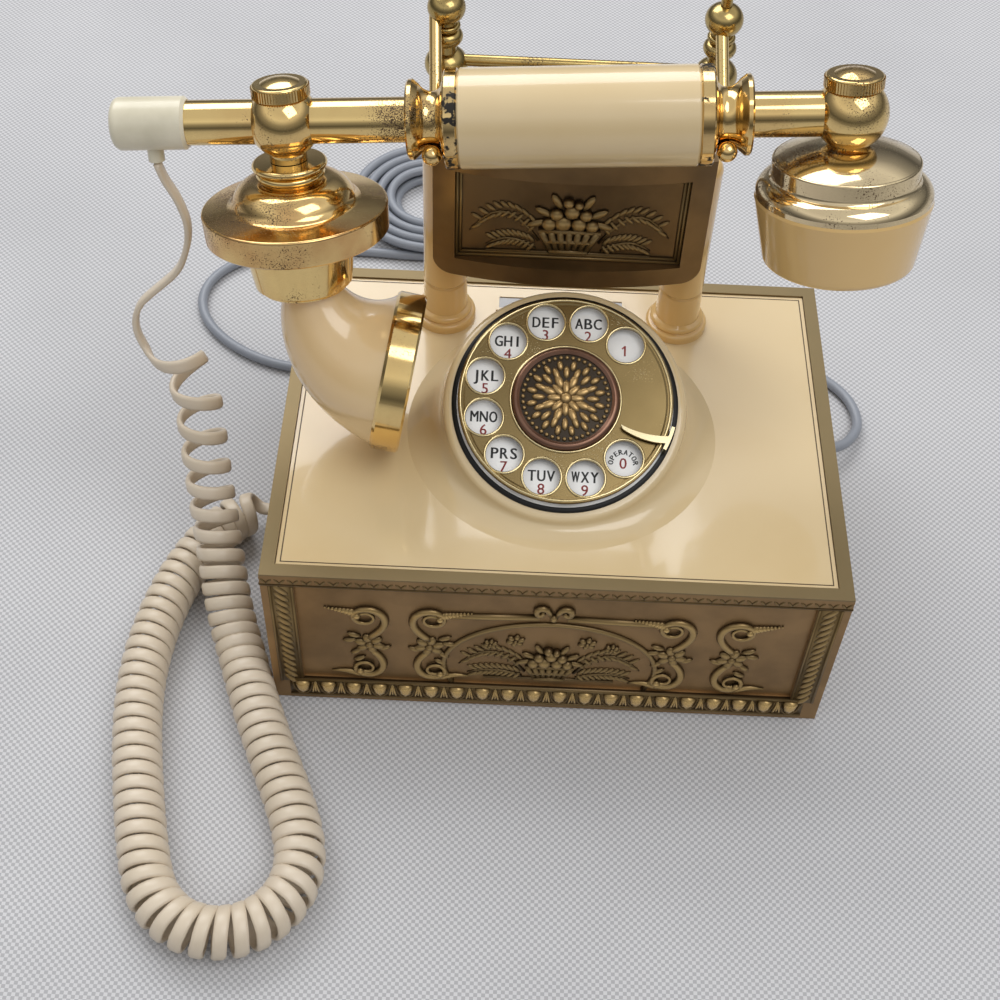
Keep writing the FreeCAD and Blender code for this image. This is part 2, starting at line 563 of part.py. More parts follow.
def make_ringer():
    floor = size("bottom_gap") + size("bottom_thick")
    thick = size("ringer_thick")
    x0 = size("ringer_x")
    y0 = size("ringer_y")
    half = size("gong_pitch") / 2
    plate = block(Vector(x0 - half - 8, y0 - 8, floor), Vector(x0 + half + 8, y0 + 44, floor + thick))
    seat_z = floor + thick + size("gong_lift")
    pivot = Vector(x0, y0 + size("clapper_length"), floor + thick)
    post_top = seat_z + size("gong_height")
    for x in (x0 - half, x0 + half):
        low = Vector(x, y0, floor)
        plate = plate.fuse(rod(low, Vector(x, y0, post_top - size("gong_wall")), 4.5))
        plate = plate.fuse(rod(low, Vector(x, y0, post_top + 2), 2.5))
    plate = plate.fuse(rod(pivot, pivot + Vector(0, 0, size("gong_lift") + 8), 2.0))
    plate = plate.fuse(rod(pivot, pivot + Vector(0, 0, size("gong_lift") - 1), 3.5))
    shape_named("ringer_frame", plate.removeSplitter())
    gongs = []
    for x in ("ringer_x - gong_pitch / 2", "ringer_x + gong_pitch / 2"):
        under = "gong_height - gong_wall"
        gong = turned("gong", [
            ("2.5 + run_gap", under), ("gong_radius - 8", under, -0.35),
            ("gong_radius - gong_wall", "0"), ("gong_radius", "0", 0.35), ("gong_radius - 7", "gong_height"),
            ("2.5 + run_gap", "gong_height")])
        settle(gong, x, "ringer_y", "bottom_gap + bottom_thick + ringer_thick + gong_lift")
        gongs.append(gong)
    grouped("gongs", gongs)
    coils = []
    for x in (-11, 11):
        low = Vector(x0 + x, y0 + 36, floor + thick)
        coils.append(rod(low, low + Vector(0, 0, size("coil_height")), size("coil_radius")))
    shape_named("ringer_coils", Part.makeCompound(coils))
    arm_z = floor + thick + size("gong_lift") - 1 + size("run_gap")
    hub = Part.makeCylinder(4.5, 5, Vector(pivot.x, pivot.y, arm_z))
    arm = block(Vector(x0 - 1.5, y0, arm_z + 1), Vector(x0 + 1.5, pivot.y, arm_z + 3))
    ball = Part.makeSphere(size("clapper_ball"), Vector(x0, y0, arm_z + 2))
    bore = Part.makeCylinder(2.0 + size("run_gap"), 20, Vector(pivot.x, pivot.y, arm_z - 5))
    shape_named("clapper", hub.fuse([arm, ball]).cut(bore).removeSplitter())
    corner = Vector(value("network_x - network_width / 2"), value("network_y - network_depth / 2"), floor)
    room = Vector(size("network_width"), size("network_depth"), size("network_height"))
    shape_named("network_block", block(corner, corner + room))


# Columns, cradle panel, fork and hook switch


def make_columns():
    for label, x in zip(("column_left", "column_right"), COLUMN_X):
        column = turned(label, [
            ("rod_radius + run_gap", "0"), ("column_foot", "0"), ("column_foot", "2", 0.41),
            ("column_foot - 1.4", "3.4"), ("column_low + 1.4", "3.6", 0.5), ("column_low + 1", "6"),
            ("column_low", "6.6"), ("column_mid", "column_joint - 0.8"),
            ("column_mid - 0.5", "column_joint"), ("column_mid", "column_joint + 0.8"),
            ("column_top", "column_height - 4", 0.41), ("column_top - 3.2", "column_height"),
            ("rod_radius + run_gap", "column_height")])
        settle(column, x, "column_y", "case_height - plate_drop")


def make_cradle_panel():
    body = body_named("cradle_panel")
    back = "-(column_y - column_top - 0.1)"
    deep = "column_y - column_top - 0.1 - panel_front"
    sketch = sketch_on(body, "XZ_Plane", back)
    top = PANEL_BOTTOM + " + panel_height"
    low = PANEL_BOTTOM
    outline(sketch, [
        ("panel_corner - panel_width / 2", low), ("panel_width / 2 - panel_corner", low, 0.414),
        ("panel_width / 2", low + " + panel_corner"), ("panel_width / 2", top), ("-panel_width / 2", top),
        ("-panel_width / 2", low + " + panel_corner", 0.414)])
    pad(body, sketch, deep)
    bow = sketch_on(body, "XY_Plane", top)
    bulge = value("2 * panel_bow / panel_width")
    side = "panel_front + panel_bow"
    outline(bow, [("-panel_width", "panel_front - 20"), ("panel_width", "panel_front - 20"),
                  ("panel_width", side), ("panel_width / 2", side, -bulge),
                  ("-panel_width / 2", side), ("-panel_width", side)])
    pad(body, bow, "panel_height * 2", "Pocket")
    field = sketch_on(body, "XZ_Plane", "-panel_front")
    rectangle(field, "panel_frame - panel_width / 2", "panel_width / 2 - panel_frame",
              low + " + panel_frame", top + " - panel_frame")
    pad(body, field, "panel_floor", "Pocket")


def make_fork():
    posts = []
    for label, x in zip(("fork_post_left", "fork_post_right"), COLUMN_X):
        def low(offset):
            return "%s + %s" % (LOW_BALL, offset)

        def high(offset):
            return "%s + %s" % (TOP_BALL, offset)

        post = turned(label, [
            ("0", YOKE), ("rod_radius", YOKE), ("rod_radius", low("low_ball * -0.85"), 0.75),
            ("bead_radius * 0.7", low("low_ball * 0.8")), ("bead_radius * 0.7", low("8")),
            ("bead_radius * 0.8", low("8.4"), 0.8), ("bead_radius * 0.6", low("13.4")),
            ("ring_radius", low("14"), 0.8), ("ring_radius - 0.8", low("16")), ("0", low("16"))])
        spin_outline(post, [
            ("0", low("16")), ("ring_radius - 0.8", low("16")),
            ("top_ball * 0.55", high("top_ball * -0.84")), ("0", high("top_ball * -0.84"))])
        spin_outline(post, [
            ("0", high("top_ball * -0.84")), ("top_ball * 0.55", high("top_ball * -0.84"), 0.78),
            ("tip_radius", high("top_ball * 0.94")),
            ("tip_radius", high("top_ball + tip_height"), dome("1", "1")),
            ("0", high("top_ball + tip_height + tip_radius"))])
        settle(post, x, "column_y")
        posts.append(post)
    doc.recompute()
    make_hooks(posts)
    make_crossbar(posts)


def handset_point(station, radius=0.0, degrees=0.0):
    """A point of the handset: along its bar, then out from it, 0 degrees towards the hanging side."""
    turn = math.radians(degrees)
    return HANDSET.multVec(Vector(station, radius * math.sin(turn), -radius * math.cos(turn)))


SLOPE = Rotation(Vector(0, 1, 0), -size("bar_tilt"))
HANDSET = Placement(Vector(0, size("bar_y"), value("case_height + handset_rise")),
                    SLOPE.multiply(Rotation(Vector(1, 0, 0), -size("bar_roll"))))
WAISTS = {"left": -value("grip_left + collar_width + (spool_width - flange_width) / 2"),
          "right": value("grip_right + collar_width + (spool_width - flange_width) / 2")}


def make_hooks(posts):
    """Each hook leaves the front of its top ball, runs down behind the spool and turns up under it."""
    reach = size("waist_radius") + size("hook_gap") + size("hook_radius")
    stop = -math.pi + math.radians(size("hook_open"))
    for side, x, post in zip(("left", "right"), COLUMN_X, posts):
        seat = handset_point(WAISTS[side])
        ball = Vector(value(x), size("column_y"), value(TOP_BALL))
        deep = ball.y - size("top_ball") * 0.3 - seat.y
        rise = ball.z - size("top_ball") * 0.35 - seat.z
        start = math.atan2(rise, deep) - math.acos(reach / math.hypot(deep, rise))
        top = seat + SLOPE.multVec(Vector(0, deep, rise))
        spread = [SLOPE.multVec(Vector(0, math.cos(a), math.sin(a)))
                  for a in (start, (start + stop) / 2, stop)]
        arc = [seat + out * reach for out in spread]
        path = Part.Wire([Part.makeLine(top, arc[0]), Part.Arc(*arc).toShape()])
        section = Part.Wire(Part.makeCircle(size("hook_radius"), top, arc[0] - top))
        bent = path.makePipeShell([section], True, False)
        tip = arc[2] + spread[2] * (size("hook_ball") - size("hook_radius"))
        bent = bent.fuse(Part.makeSphere(size("hook_ball"), tip))
        bent = max(bent.cut(post.Shape).Solids, key=lambda solid: solid.Volume)
        shape_named("hook_" + side, bent.removeSplitter())


def make_crossbar(posts):
    level = value(LOW_BALL + " + bar_rise")
    ends = [Vector(value(x), size("column_y"), level) for x in COLUMN_X]
    bar = rod(ends[0], ends[1], size("bar_radius"))
    for post in posts:
        bar = bar.cut(post.Shape)
    shape_named("crossbar", max(bar.Solids, key=lambda solid: solid.Volume))


def make_hook_switch():
    half = size("column_pitch") / 2 + size("rod_radius") + 2
    y = size("column_y")
    high = value(YOKE)
    low = high - size("yoke_size")
    shape_named("plunger_yoke", block(Vector(-half, y - 4, low), Vector(half, y + 4, high)))
    floor = size("bottom_gap") + size("bottom_thick")
    pivot = Vector(0, y - size("lever_length"), low - size("lever_gap") - 4)
    stand = block(Vector(-14, pivot.y - 9, floor), Vector(14, pivot.y + 5, floor + 2))
    for x in (-14, 12):
        stand = stand.fuse(block(Vector(x, pivot.y - 5, floor), Vector(x + 2, pivot.y + 5, pivot.z + 4)))
    stand = stand.fuse(rod(pivot - Vector(13, 0, 0), pivot + Vector(13, 0, 0), 2.0))
    stack = block(Vector(-12, pivot.y - 9, floor), Vector(12, pivot.y - 6, floor + 26))
    shape_named("switch_frame", stand.fuse(stack).removeSplitter())
    lever = Part.makeCylinder(4, 18, pivot - Vector(9, 0, 0), Vector(1, 0, 0))
    lever = lever.fuse(block(Vector(-6, pivot.y, pivot.z + 1.5), Vector(6, y + 3, pivot.z + 4)))
    lever = lever.cut(rod(pivot - Vector(20, 0, 0), pivot + Vector(20, 0, 0), 2.0 + size("run_gap")))
    shape_named("switch_lever", lever.removeSplitter())
    leaves = [block(Vector(x, pivot.y - 9.6 - 1.6, floor + 12), Vector(x + 4, pivot.y - 9, floor + 36))
              for x in (-11, -5, 1, 7)]
    shape_named("switch_contacts", Part.makeCompound(leaves))


# Handset. Pieces on the bar are turned about X, the mouth and ear pieces about their own hanging axes.


def make_bar():
    tube_end = "-(cap_right + cap_overlap)"
    turned("handset_tube", [(tube_end, "tube_bore"), ("tube_right", "tube_bore"),
                            ("tube_right", "tube_radius"), (tube_end, "tube_radius")], HANDSET, "x")
    bore = "tube_radius + run_gap"
    turned("grip", [("-grip_left", bore), ("grip_right", bore), ("grip_right", "grip_radius - 0.6"),
                    ("grip_right - 0.6", "grip_radius"), ("0.6 - grip_left", "grip_radius"),
                    ("-grip_left", "grip_radius - 0.6")], HANDSET, "x")
    collars = []
    spools = []
    for sign, start in (("-", "grip_left"), ("", "grip_right")):
        def at(offset):
            return "%s(%s + %s)" % (sign, start, offset)

        collar = [(at("0"), bore), (at("collar_width"), bore), (at("collar_width"), "grip_radius - 0.5"),
                  (at("collar_width - 0.5"), "grip_radius"), (at("0.5"), "grip_radius"),
                  (at("0"), "grip_radius - 0.5")]
        collars.append(turned("collar", collar, HANDSET, "x"))
        near = "collar_width"
        far = "collar_width + spool_width"
        low = "collar_width + (spool_width - flange_width) / 2"
        dip = []
        for run, drop in (("(spool_width - flange_width) / 2", "flange_radius - 1.6 - waist_radius"),
                          ("(spool_width - flange_width) / 2 - 0.8", "flange_radius - 0.6 - waist_radius")):
            dip.append(dome(run, drop) if sign else -dome(run, drop))
        spool = [(at(near), bore), (at(far), bore), (at(far), "flange_radius - 0.6"),
                 (at(far + " - 0.6"), "flange_radius"), (at(far + " - 1.8"), "flange_radius"),
                 (at(far + " - flange_width"), "flange_radius - 1.6", dip[0]),
                 (at(low), "waist_radius", dip[1]),
                 (at(near + " + 0.8"), "flange_radius - 0.6"), (at(near), "flange_radius + 0.6")]
        spools.append(turned("spool", spool, HANDSET, "x"))
    grouped("grip_collars", collars)
    grouped("spools", spools)


def hanging(station, lean=0.0):
    """The frame of a piece under the bar: its origin on the bar, its -Z axis the way the piece hangs."""
    return HANDSET.multiply(Placement(Vector(station, 0, 0), Rotation(Vector(0, 1, 0), -lean)))


MOUTH = hanging(-size("left_ball"), size("mouth_lean"))
EAR = hanging(size("right_ball"))


def make_balls():
    """Ball joints bored for the tube, with a knurled nut on top."""
    nuts = []
    for side, frame, neck in (("left", MOUTH, True), ("right", EAR, False)):
        radius = size("ball_radius")
        flat = size("ball_flat")
        shape = Part.makeSphere(radius)
        low = size("neck_end") if neck else size("ear_top")
        shape = shape.common(block(Vector(-20, -20, -low), Vector(20, 20, flat)))
        if neck:
            shape = shape.fuse(rod(Vector(0, 0, 0), Vector(0, 0, -size("neck_end")), size("neck_radius")))
        lean = size("mouth_lean") if neck else 0.0
        along = Rotation(Vector(0, 1, 0), lean).multVec(Vector(1, 0, 0))
        reach = 20.0 if neck else size("right_ball") - size("tube_right")
        near = along * -20
        far = along * reach if neck else along * -reach
        shape = shape.cut(rod(near, far, size("tube_radius") + size("run_gap")))
        shape_named("ball_" + side, shape.removeSplitter(), frame)
        nuts.append(turned("nut", [
            ("0", "ball_flat"), ("nut_radius - 0.7", "ball_flat"), ("nut_radius", "ball_flat + 0.7"),
            ("nut_radius", "ball_flat + nut_height - 0.8", 0.41),
            ("nut_radius - 0.8", "ball_flat + nut_height"),
            ("nut_cap", "ball_flat + nut_height", dome("nut_cap", "1.6")),
            ("0", "ball_flat + nut_height + 1.6")], frame))
    grouped("knurled_nuts", nuts)


def make_mouthpiece():
    turned("mouth_collar", [
        ("0", "-collar_end"), ("collar_ring - 3", "-collar_end"),
        ("collar_ring - 1.2", "-collar_end + 0.8", 0.6), ("collar_ring - 1.6", "-collar_end + 3.2"),
        ("collar_ring - 2.4", "-collar_end + 3.6"), ("collar_ring", "-collar_end + 4", 0.6),
        ("collar_ring - 0.6", "-collar_end + 6.2"), ("0", "-neck_end")], MOUTH)
    turned("mouth_disc", [
        ("0", "-disc_end + 2.4"), ("cup_top + 0.4", "-disc_end + 2.4"), ("cup_top + 0.4", "-disc_end"),
        ("disc_radius - 0.9", "-disc_end"), ("disc_radius - 0.3", "-disc_end + 0.6"),
        ("disc_radius", "-disc_rim - 0.8", 0.41), ("disc_radius - 0.8", "-disc_rim"),
        ("disc_radius - 8.8", "-disc_rim + 1.4", -0.22), ("disc_radius - 11", "-disc_rim + 3.8", 0.4),
        ("collar_ring - 2", "-collar_end - 0.6", -0.25), ("collar_ring - 3", "-collar_end"),
        ("0", "-collar_end")], MOUTH)
    bore = "horn_root + run_gap"
    turned("mouth_cup", [
        ("0", "-disc_end + 0.6"), ("0", "-disc_end + 2.4"), ("cup_top", "-disc_end + 2.4"),
        ("cup_top", "-disc_end"), ("cup_low", "-cup_end + 1.6", 0.38), ("cup_low - 1.6", "-cup_end"),
        (bore, "-cup_end"), (bore, "-disc_end - 6"), ("cup_top - 3", "-disc_end + 0.6")], MOUTH)
    floor = -size("cup_end") + size("horn_wall")
    root = rod(Vector(0, 0, -size("disc_end") - 6.2), Vector(0, 0, -size("cup_end")), size("horn_root"))
    room = rod(Vector(0, 0, -size("disc_end") - 4), Vector(0, 0, floor), value("horn_root - horn_wall"))
    throat = rod(Vector(size("horn_shift"), 0, floor), Vector(size("horn_shift"), 0, -size("cup_end")),
                 size("horn_start") - size("horn_wall"))
    horn = horn_loft(0.0).fuse(root).cut(horn_loft(size("horn_wall"))).cut(room).cut(throat)
    shape_named("mouth_horn", horn.removeSplitter(), MOUTH)
    front = MOUTH.multiply(horn_mouth())
    turned("horn_ring", [
        ("ring_inner", "0"), ("ring_outer - 1", "0"), ("ring_outer", "1"), ("ring_outer", "ring_width - 0.8"),
        ("ring_outer - 0.8", "ring_width"), ("ring_inner", "ring_width")], front)
    turned("mouth_grille", [
        ("0", "2"), ("ring_inner - run_gap", "2"), ("ring_inner - run_gap", "2 + grille_thick"),
        ("ring_inner - 6", "2 + grille_thick", dome("ring_inner - 6", "1.5")),
        ("0", "3.5 + grille_thick")], front)
    turned("transmitter", [
        ("0", "2 - capsule_height"), ("capsule_radius - 4", "2 - capsule_height"), ("capsule_radius", "-1"),
        ("capsule_radius", "2"), ("0", "2")], front)


def horn_section(share, wall):
    """A circle of the horn, whose planes all pass through one pivot beside the cup."""
    turn = math.radians(size("horn_turn") * share)
    near = value("horn_pivot - horn_shift - horn_start") * (1 - share) + size("horn_near") * share
    radius = size("horn_start") + (size("horn_mouth") - size("horn_start")) * share
    pivot = Vector(size("horn_pivot"), 0, -size("cup_end"))
    out = Vector(-math.cos(turn), 0, -math.sin(turn))
    normal = Vector(math.sin(turn), 0, -math.cos(turn))
    return Part.Wire(Part.makeCircle(radius - wall, pivot + out * (near + radius), normal))


def horn_loft(wall):
    return Part.makeLoft([horn_section(i / 4.0, wall) for i in range(5)], True, False)


def horn_mouth():
    """The frame of the horn's mouth: +Z out of it."""
    turn = size("horn_turn")
    away = size("horn_near") + size("horn_mouth")
    angle = math.radians(turn)
    pivot = Vector(size("horn_pivot"), 0, -size("cup_end"))
    centre = pivot - Vector(away * math.cos(angle), 0, away * math.sin(angle))
    return Placement(centre, Rotation(Vector(0, 1, 0), 180 - turn))


def make_earpiece():
    turned("ear_shell", [
        ("0", "-ear_top"), ("0", "-ear_top - ear_wall"), ("6", "-ear_top - ear_wall"),
        ("ear_dome - ear_wall", "-ear_band - ear_wall * 0.6"), ("ear_dome - ear_wall", "-ear_flare"),
        ("ear_rim - 3.2", "-ear_rim_end"), ("ear_rim", "-ear_rim_end"),
        ("ear_rim", "-ear_rim_end + 1.6", 0.3), ("ear_dome + 0.6", "-ear_flare - 0.6", -0.2),
        ("ear_dome", "-ear_flare + 0.6"), ("ear_dome", "-ear_band - 0.6", 0.41),
        ("ear_dome - 0.8", "-ear_band", 0.1), ("ball_radius * 0.8", "-ear_top - 1.4", -0.2),
        ("6", "-ear_top")], EAR)
    turned("ear_cap", [
        ("0", "-ear_end + 3"), ("ear_low - 12", "-ear_end + 2", 0.1), ("ear_low - 3", "-ear_end"),
        ("ear_low - 2", "-ear_end", 0.3), ("ear_low", "-ear_end + 2"), ("ear_rim + 0.3", "-ear_rim_end - 1"),
        ("ear_rim", "-ear_rim_end"), ("ear_rim - 3.4", "-ear_rim_end"), ("ear_low - 3", "-ear_end + 5.4"),
        ("0", "-ear_end + 5.4")], EAR)
    turned("receiver", [
        ("0", "-ear_end + 5.4"), ("capsule_radius", "-ear_end + 5.4"), ("capsule_radius", "-ear_end + 9"),
        ("capsule_radius - 5", "-ear_end + 5.4 + capsule_height"),
        ("0", "-ear_end + 5.4 + capsule_height")], EAR)


def make_end_cap():
    """A moulded cap over the end of the tube, with a short nozzle under it for the cord."""
    cap = turned("end_cap", [
        ("-cap_left", "0"), ("-cap_right", "0"), ("-cap_right", "cap_radius - 1"),
        ("-cap_right - 1", "cap_radius"), ("2.6 - cap_left", "cap_radius", 0.41),
        ("-cap_left", "cap_radius - 2.6")], HANDSET, "x")
    nozzle = sketch_on(cap, "XY_Plane", "-cap_radius - nozzle_length")
    circle(nozzle, "-cap_exit", "0", "nozzle_radius")
    pad(cap, nozzle, "cap_radius + nozzle_length - 2")
    socket = sketch_on(cap, "YZ_Plane", "-cap_right")
    circle(socket, "0", "0", "tube_radius + run_gap")
    pad(cap, socket, "cap_overlap + run_gap", "Pocket")


# Cords


def cord_section(centre, along, radius, sides):
    """The section of a cord: a polygon square to the way it leaves."""
    turn = Rotation(Vector(0, 0, 1), along)
    points = [centre + turn.multVec(spoke(radius, 360.0 / sides * (i + 0.5))) for i in range(sides)]
    return Part.makePolygon(points + points[:1])


def cord_solid(edges, radius, sides):
    path = Part.Wire(edges)
    first = edges[0]
    start = first.valueAt(first.FirstParameter)
    along = first.tangentAt(first.FirstParameter)
    solid = path.makePipeShell([cord_section(start, along, radius, sides)], True, False)
    area = sides / 2.0 * radius ** 2 * math.sin(2 * math.pi / sides)
    print("cord length %.0f, volume over section times length %.4f"
          % (path.Length, solid.Volume / (area * path.Length)))
    return solid


def rounded_route(points):
    """Straight runs joined by tangent arcs, each as large as its two runs allow."""
    edges = []
    radii = []
    here = points[0]
    for i in range(1, len(points) - 1):
        back = points[i - 1] - points[i]
        ahead = points[i + 1] - points[i]
        turn = math.pi - back.getAngle(ahead)
        cut = 0.45 * min(back.Length, ahead.Length)
        radii.append(cut / math.tan(turn / 2))
        back.normalize()
        ahead.normalize()
        start = points[i] + back * cut
        stop = points[i] + ahead * cut
        middle = back + ahead
        middle.normalize()
        inner = radii[-1] / math.cos(turn / 2) - radii[-1]
        edges.append(Part.makeLine(here, start))
        edges.append(Part.Arc(start, points[i] + middle * inner, stop).toShape())
        here = stop
    edges.append(Part.makeLine(here, points[-1]))
    print("bend radii " + " ".join("%.0f" % r for r in radii))
    return edges


def biarc(start, along, stop, onward):
    """Two arcs that join two points and leave and arrive along the given unit directions."""
    span = stop - start
    both = along + onward
    spare = 2 * (1 - along.dot(onward))
    lean = span.dot(both)
    if spare < 1e-6:
        reach = span.dot(span) / (4 * span.dot(onward))
    else:
        reach = (math.sqrt(lean * lean + spare * span.dot(span)) - lean) / spare
    middle = (start + stop + (along - onward) * reach) / 2
    return [bent_edge(start, along, middle), bent_edge(stop, onward * -1, middle, True)]


def bent_edge(start, along, stop, backward=False):
    """The arc, or the straight edge, from a point along a direction to another point."""
    chord = stop - start
    half = chord.Length / 2
    side = along - chord * (along.dot(chord) / chord.dot(chord))
    if side.Length < 1e-5:
        return Part.makeLine(stop, start) if backward else Part.makeLine(start, stop)
    angle = along.getAngle(chord)
    side.normalize()
    top = (start + stop) / 2 + side * (half * math.tan(angle / 2))
    return Part.Arc(stop, top, start).toShape() if backward else Part.Arc(start, top, stop).toShape()


def through(knots):
    """One chain of biarcs through (point, direction) pairs."""
    edges = []
    for (start, along), (stop, onward) in zip(knots, knots[1:]):
        edges.extend(biarc(start, along, stop, onward))
    return edges


def least_gap(edges, thickness, skip):
    """The least clear distance between stretches of one cord that are at least skip apart along it."""
    points = []
    run = 0.0
    for edge in edges:
        for share in (0.0, 0.5):
            at = edge.FirstParameter + (edge.LastParameter - edge.FirstParameter) * share
            points.append((run + edge.Length * share, edge.valueAt(at)))
        run += edge.Length
    nearest = min((here - there).Length for i, (run, here) in enumerate(points)
                  for before, there in points[:i] if run - before > skip)
    return nearest - thickness


# The middle line of the curly cord, from the handset's nozzle to the gland in the case's left wall
CURL_LINE = [(-132.8, 13.6, 164.0), (-129.9, 13.0, 150.4), (-134.6, 11.6, 135.0), (-142.0, 10.2, 122.5),
             (-148.0, 8.0, 111.0), (-141.0, 5.0, 98.0), (-134.5, 2.0, 86.0), (-133.0, -4.5, 69.0),
             (-132.0, -10.0, 57.0), (-130.5, -16.5, 46.0), (-128.8, -23.0, 37.5), (-126.8, -31.0, 29.0),
             (-123.8, -43.0, 20.5), (-120.0, -55.0, 13.5), (-115.5, -66.0, 10.2), (-108.5, -85.3, 9.9),
             (-98.5, -109.0, 9.9), (-88.0, -132.0, 9.9), (-83.2, -150.0, 9.9), (-86.6, -164.0, 9.9),
             (-96.5, -174.0, 9.9), (-110.0, -177.6, 9.9), (-123.5, -174.0, 9.9), (-133.4, -164.0, 9.9),
             (-139.0, -147.0, 9.9), (-144.5, -124.0, 9.9), (-149.6, -98.0, 9.9), (-151.5, -74.0, 9.9),
             (-149.0, -50.0, 9.9), (-144.0, -30.0, 9.9), (-137.0, -14.0, 9.9), (-128.5, -2.0, 9.9),
             (-119.0, 4.5, 9.6)]
LEAD_KNOTS = (12.0, 25.0, 38.0, 51.0, 64.0, 75.0)
CURL_START = 80.0
LOOSE_CURLS = [17.0, 15.0, 13.0, 11.5, 10.0, 9.0, 8.0, 7.2, 6.6]
CURL_PITCH = 6.4
CURL_END = 11.0


def curly_knots(first, last):
    """Points and directions of a helix about the middle line, every half curl, that grows out of a
    straight lead and runs back into one."""
    line = Part.BSplineCurve()
    line.interpolate([first[0]] + [Vector(*p) for p in CURL_LINE] + [last[0]])
    points = line.discretize(Number=900)
    step = line.length() / (len(points) - 1)
    total = line.length()
    side = Vector(1, 0, 0)
    frames = []
    turn = 0.0
    for i, point in enumerate(points):
        along = points[min(i + 1, len(points) - 1)] - points[max(i - 1, 0)]
        along.normalize()
        side = side - along * side.dot(along)
        side.normalize()
        run = i * step
        if run > CURL_START:
            number = int(turn / (2 * math.pi))
            pitch = LOOSE_CURLS[number] if number < len(LOOSE_CURLS) else CURL_PITCH
            turn += 2 * math.pi * step / pitch
        ends = ((run - CURL_START) / LOOSE_CURLS[0], (total - CURL_END - run) / CURL_PITCH)
        grown = max(0.0, min(1.0, *ends))
        out = side * math.cos(turn) + along.cross(side) * math.sin(turn)
        frames.append((run, turn, point + out * (size("curl_radius") * grown * grown * (3 - 2 * grown))))
    knots = [first]
    marks = [round(run / step) for run in LEAD_KNOTS]
    halves = [int(turn / math.pi) for run, turn, point in frames]
    marks += [i for i in range(1, len(frames))
              if halves[i] > halves[i - 1] and total - frames[i][0] > CURL_END]
    for i in sorted(marks):
        along = frames[i + 1][2] - frames[i - 1][2]
        along.normalize()
        knots.append((frames[i][2], along))
    knots.append(last)
    return knots


def make_handset_cord():
    nozzle = handset_point(-size("cap_exit"), size("cap_radius") + size("nozzle_length"))
    down = nozzle - handset_point(-size("cap_exit"))
    down.normalize()
    gland = Vector(-size("case_width") / 2 - size("relief_length"), size("curl_exit"), size("exit_height"))
    edges = through(curly_knots((nozzle, down), (gland, Vector(1, 0, 0))))
    radius = size("curl_side") / math.sqrt(2)
    print("curls: least gap %.2f" % least_gap(edges, 2 * radius, 4 * size("curl_radius")))
    shape_named("handset_cord", cord_solid(edges, radius, 4))


# The line cord, from the gland in the case's right wall, behind the case and out to its left
LINE_ROUTE = [(118.0, 52.0, 8.0), (124.4, 55.0, 7.0), (129.2, 60.4, 5.2), (135.0, 71.5, 2.8),
              (132.0, 88.5, 2.4), (118.0, 102.5, 2.4), (97.0, 111.0, 2.4), (68.0, 113.5, 2.4),
              (36.0, 108.0, 2.4), (0.0, 104.5, 2.4), (-40.0, 99.5, 2.4), (-78.0, 92.5, 2.4),
              (-113.0, 89.5, 2.4), (-139.0, 99.0, 2.4), (-158.0, 117.0, 2.4), (-163.0, 138.0, 2.4),
              (-152.0, 157.0, 2.4), (-128.0, 168.0, 2.4), (-95.0, 169.8, 2.4)]
COIL_CENTRE = Vector(-60.0, 206.0, 2.4)
COIL_ENTRY = 270.0
COIL_TURNS = 4
PLUG_LEAD = 70.0


def coil_knots():
    """Loops that spiral in on the desk, climb, and spiral out on top."""
    rise = size("line_radius") * 2 + 1.0
    pitch = size("coil_pitch")
    inner = size("coil_loop") - pitch * COIL_TURNS / 2
    knots = []
    for i in range(8 * COIL_TURNS + 1):
        turns = i / 4.0 - COIL_TURNS
        middle = COIL_CENTRE + Vector(0, 0, rise * max(0.0, min(1.0, turns * 4)))
        bearing = COIL_ENTRY + 90 * i
        knots.append((middle + spoke(inner + pitch * abs(turns), bearing), spoke(1.0, bearing + 90)))
    return knots


def make_line_cord():
    radius = size("line_radius")
    knots = coil_knots()
    start, along = knots[0]
    gland = Vector(size("case_width") / 2 + size("relief_length"), size("line_exit"), size("exit_height"))
    route = [gland] + [Vector(*p) for p in LINE_ROUTE] + [start]
    shape_named("line_cord", cord_solid(rounded_route(route), radius, 6))
    last, onward = knots[-1]
    rest = last + onward * PLUG_LEAD + Vector(0, 0, size("plug_height") / 2 - last.z)
    knots.append((rest, onward))
    edges = through(knots)
    print("coil: least gap %.2f" % least_gap(edges, 2 * radius, 8 * radius))
    shape_named("line_coil", cord_solid(edges, radius, 6))
    body = block(Vector(-size("plug_width") / 2, 0, -size("plug_height") / 2),
                 Vector(size("plug_width") / 2, size("plug_length"), size("plug_height") / 2))
    high = size("plug_height") / 2
    latch = block(Vector(-1.6, 3, high), Vector(1.6, size("plug_length"), high + 1.4))
    shape_named("line_plug", body.fuse(latch).removeSplitter(),
                Placement(rest, Rotation(Vector(0, 1, 0), onward)))


def make_glands():
    glands = []
    for side, y in ((-1, "curl_exit"), (1, "line_exit")):
        wall = side * size("case_width") / 2
        at = Vector(wall, size(y), size("exit_height"))
        out = Vector(side, 0, 0)
        sleeve = rod(at - out * size("case_wall"), at + out * 0.01, size("relief_radius") - size("run_gap"))
        nose = Part.makeCone(size("relief_radius") + 1.2, size("line_radius") + 0.6,
                             size("relief_length"), at, out)
        glands.append(sleeve.fuse(nose).removeSplitter())
    shape_named("cord_glands", Part.makeCompound(glands))


make_case_frame()
make_bottom()
make_top_plate()
make_card()
make_finger_wheel()
make_dial_face()
make_finger_stop()
make_dial_frame()
make_dial_train()
make_ringer()
make_columns()
make_cradle_panel()
make_fork()
make_hook_switch()
make_bar()
make_balls()
make_mouthpiece()
make_earpiece()
make_end_cap()
make_handset_cord()
make_line_cord()
make_glands()
doc.recompute()

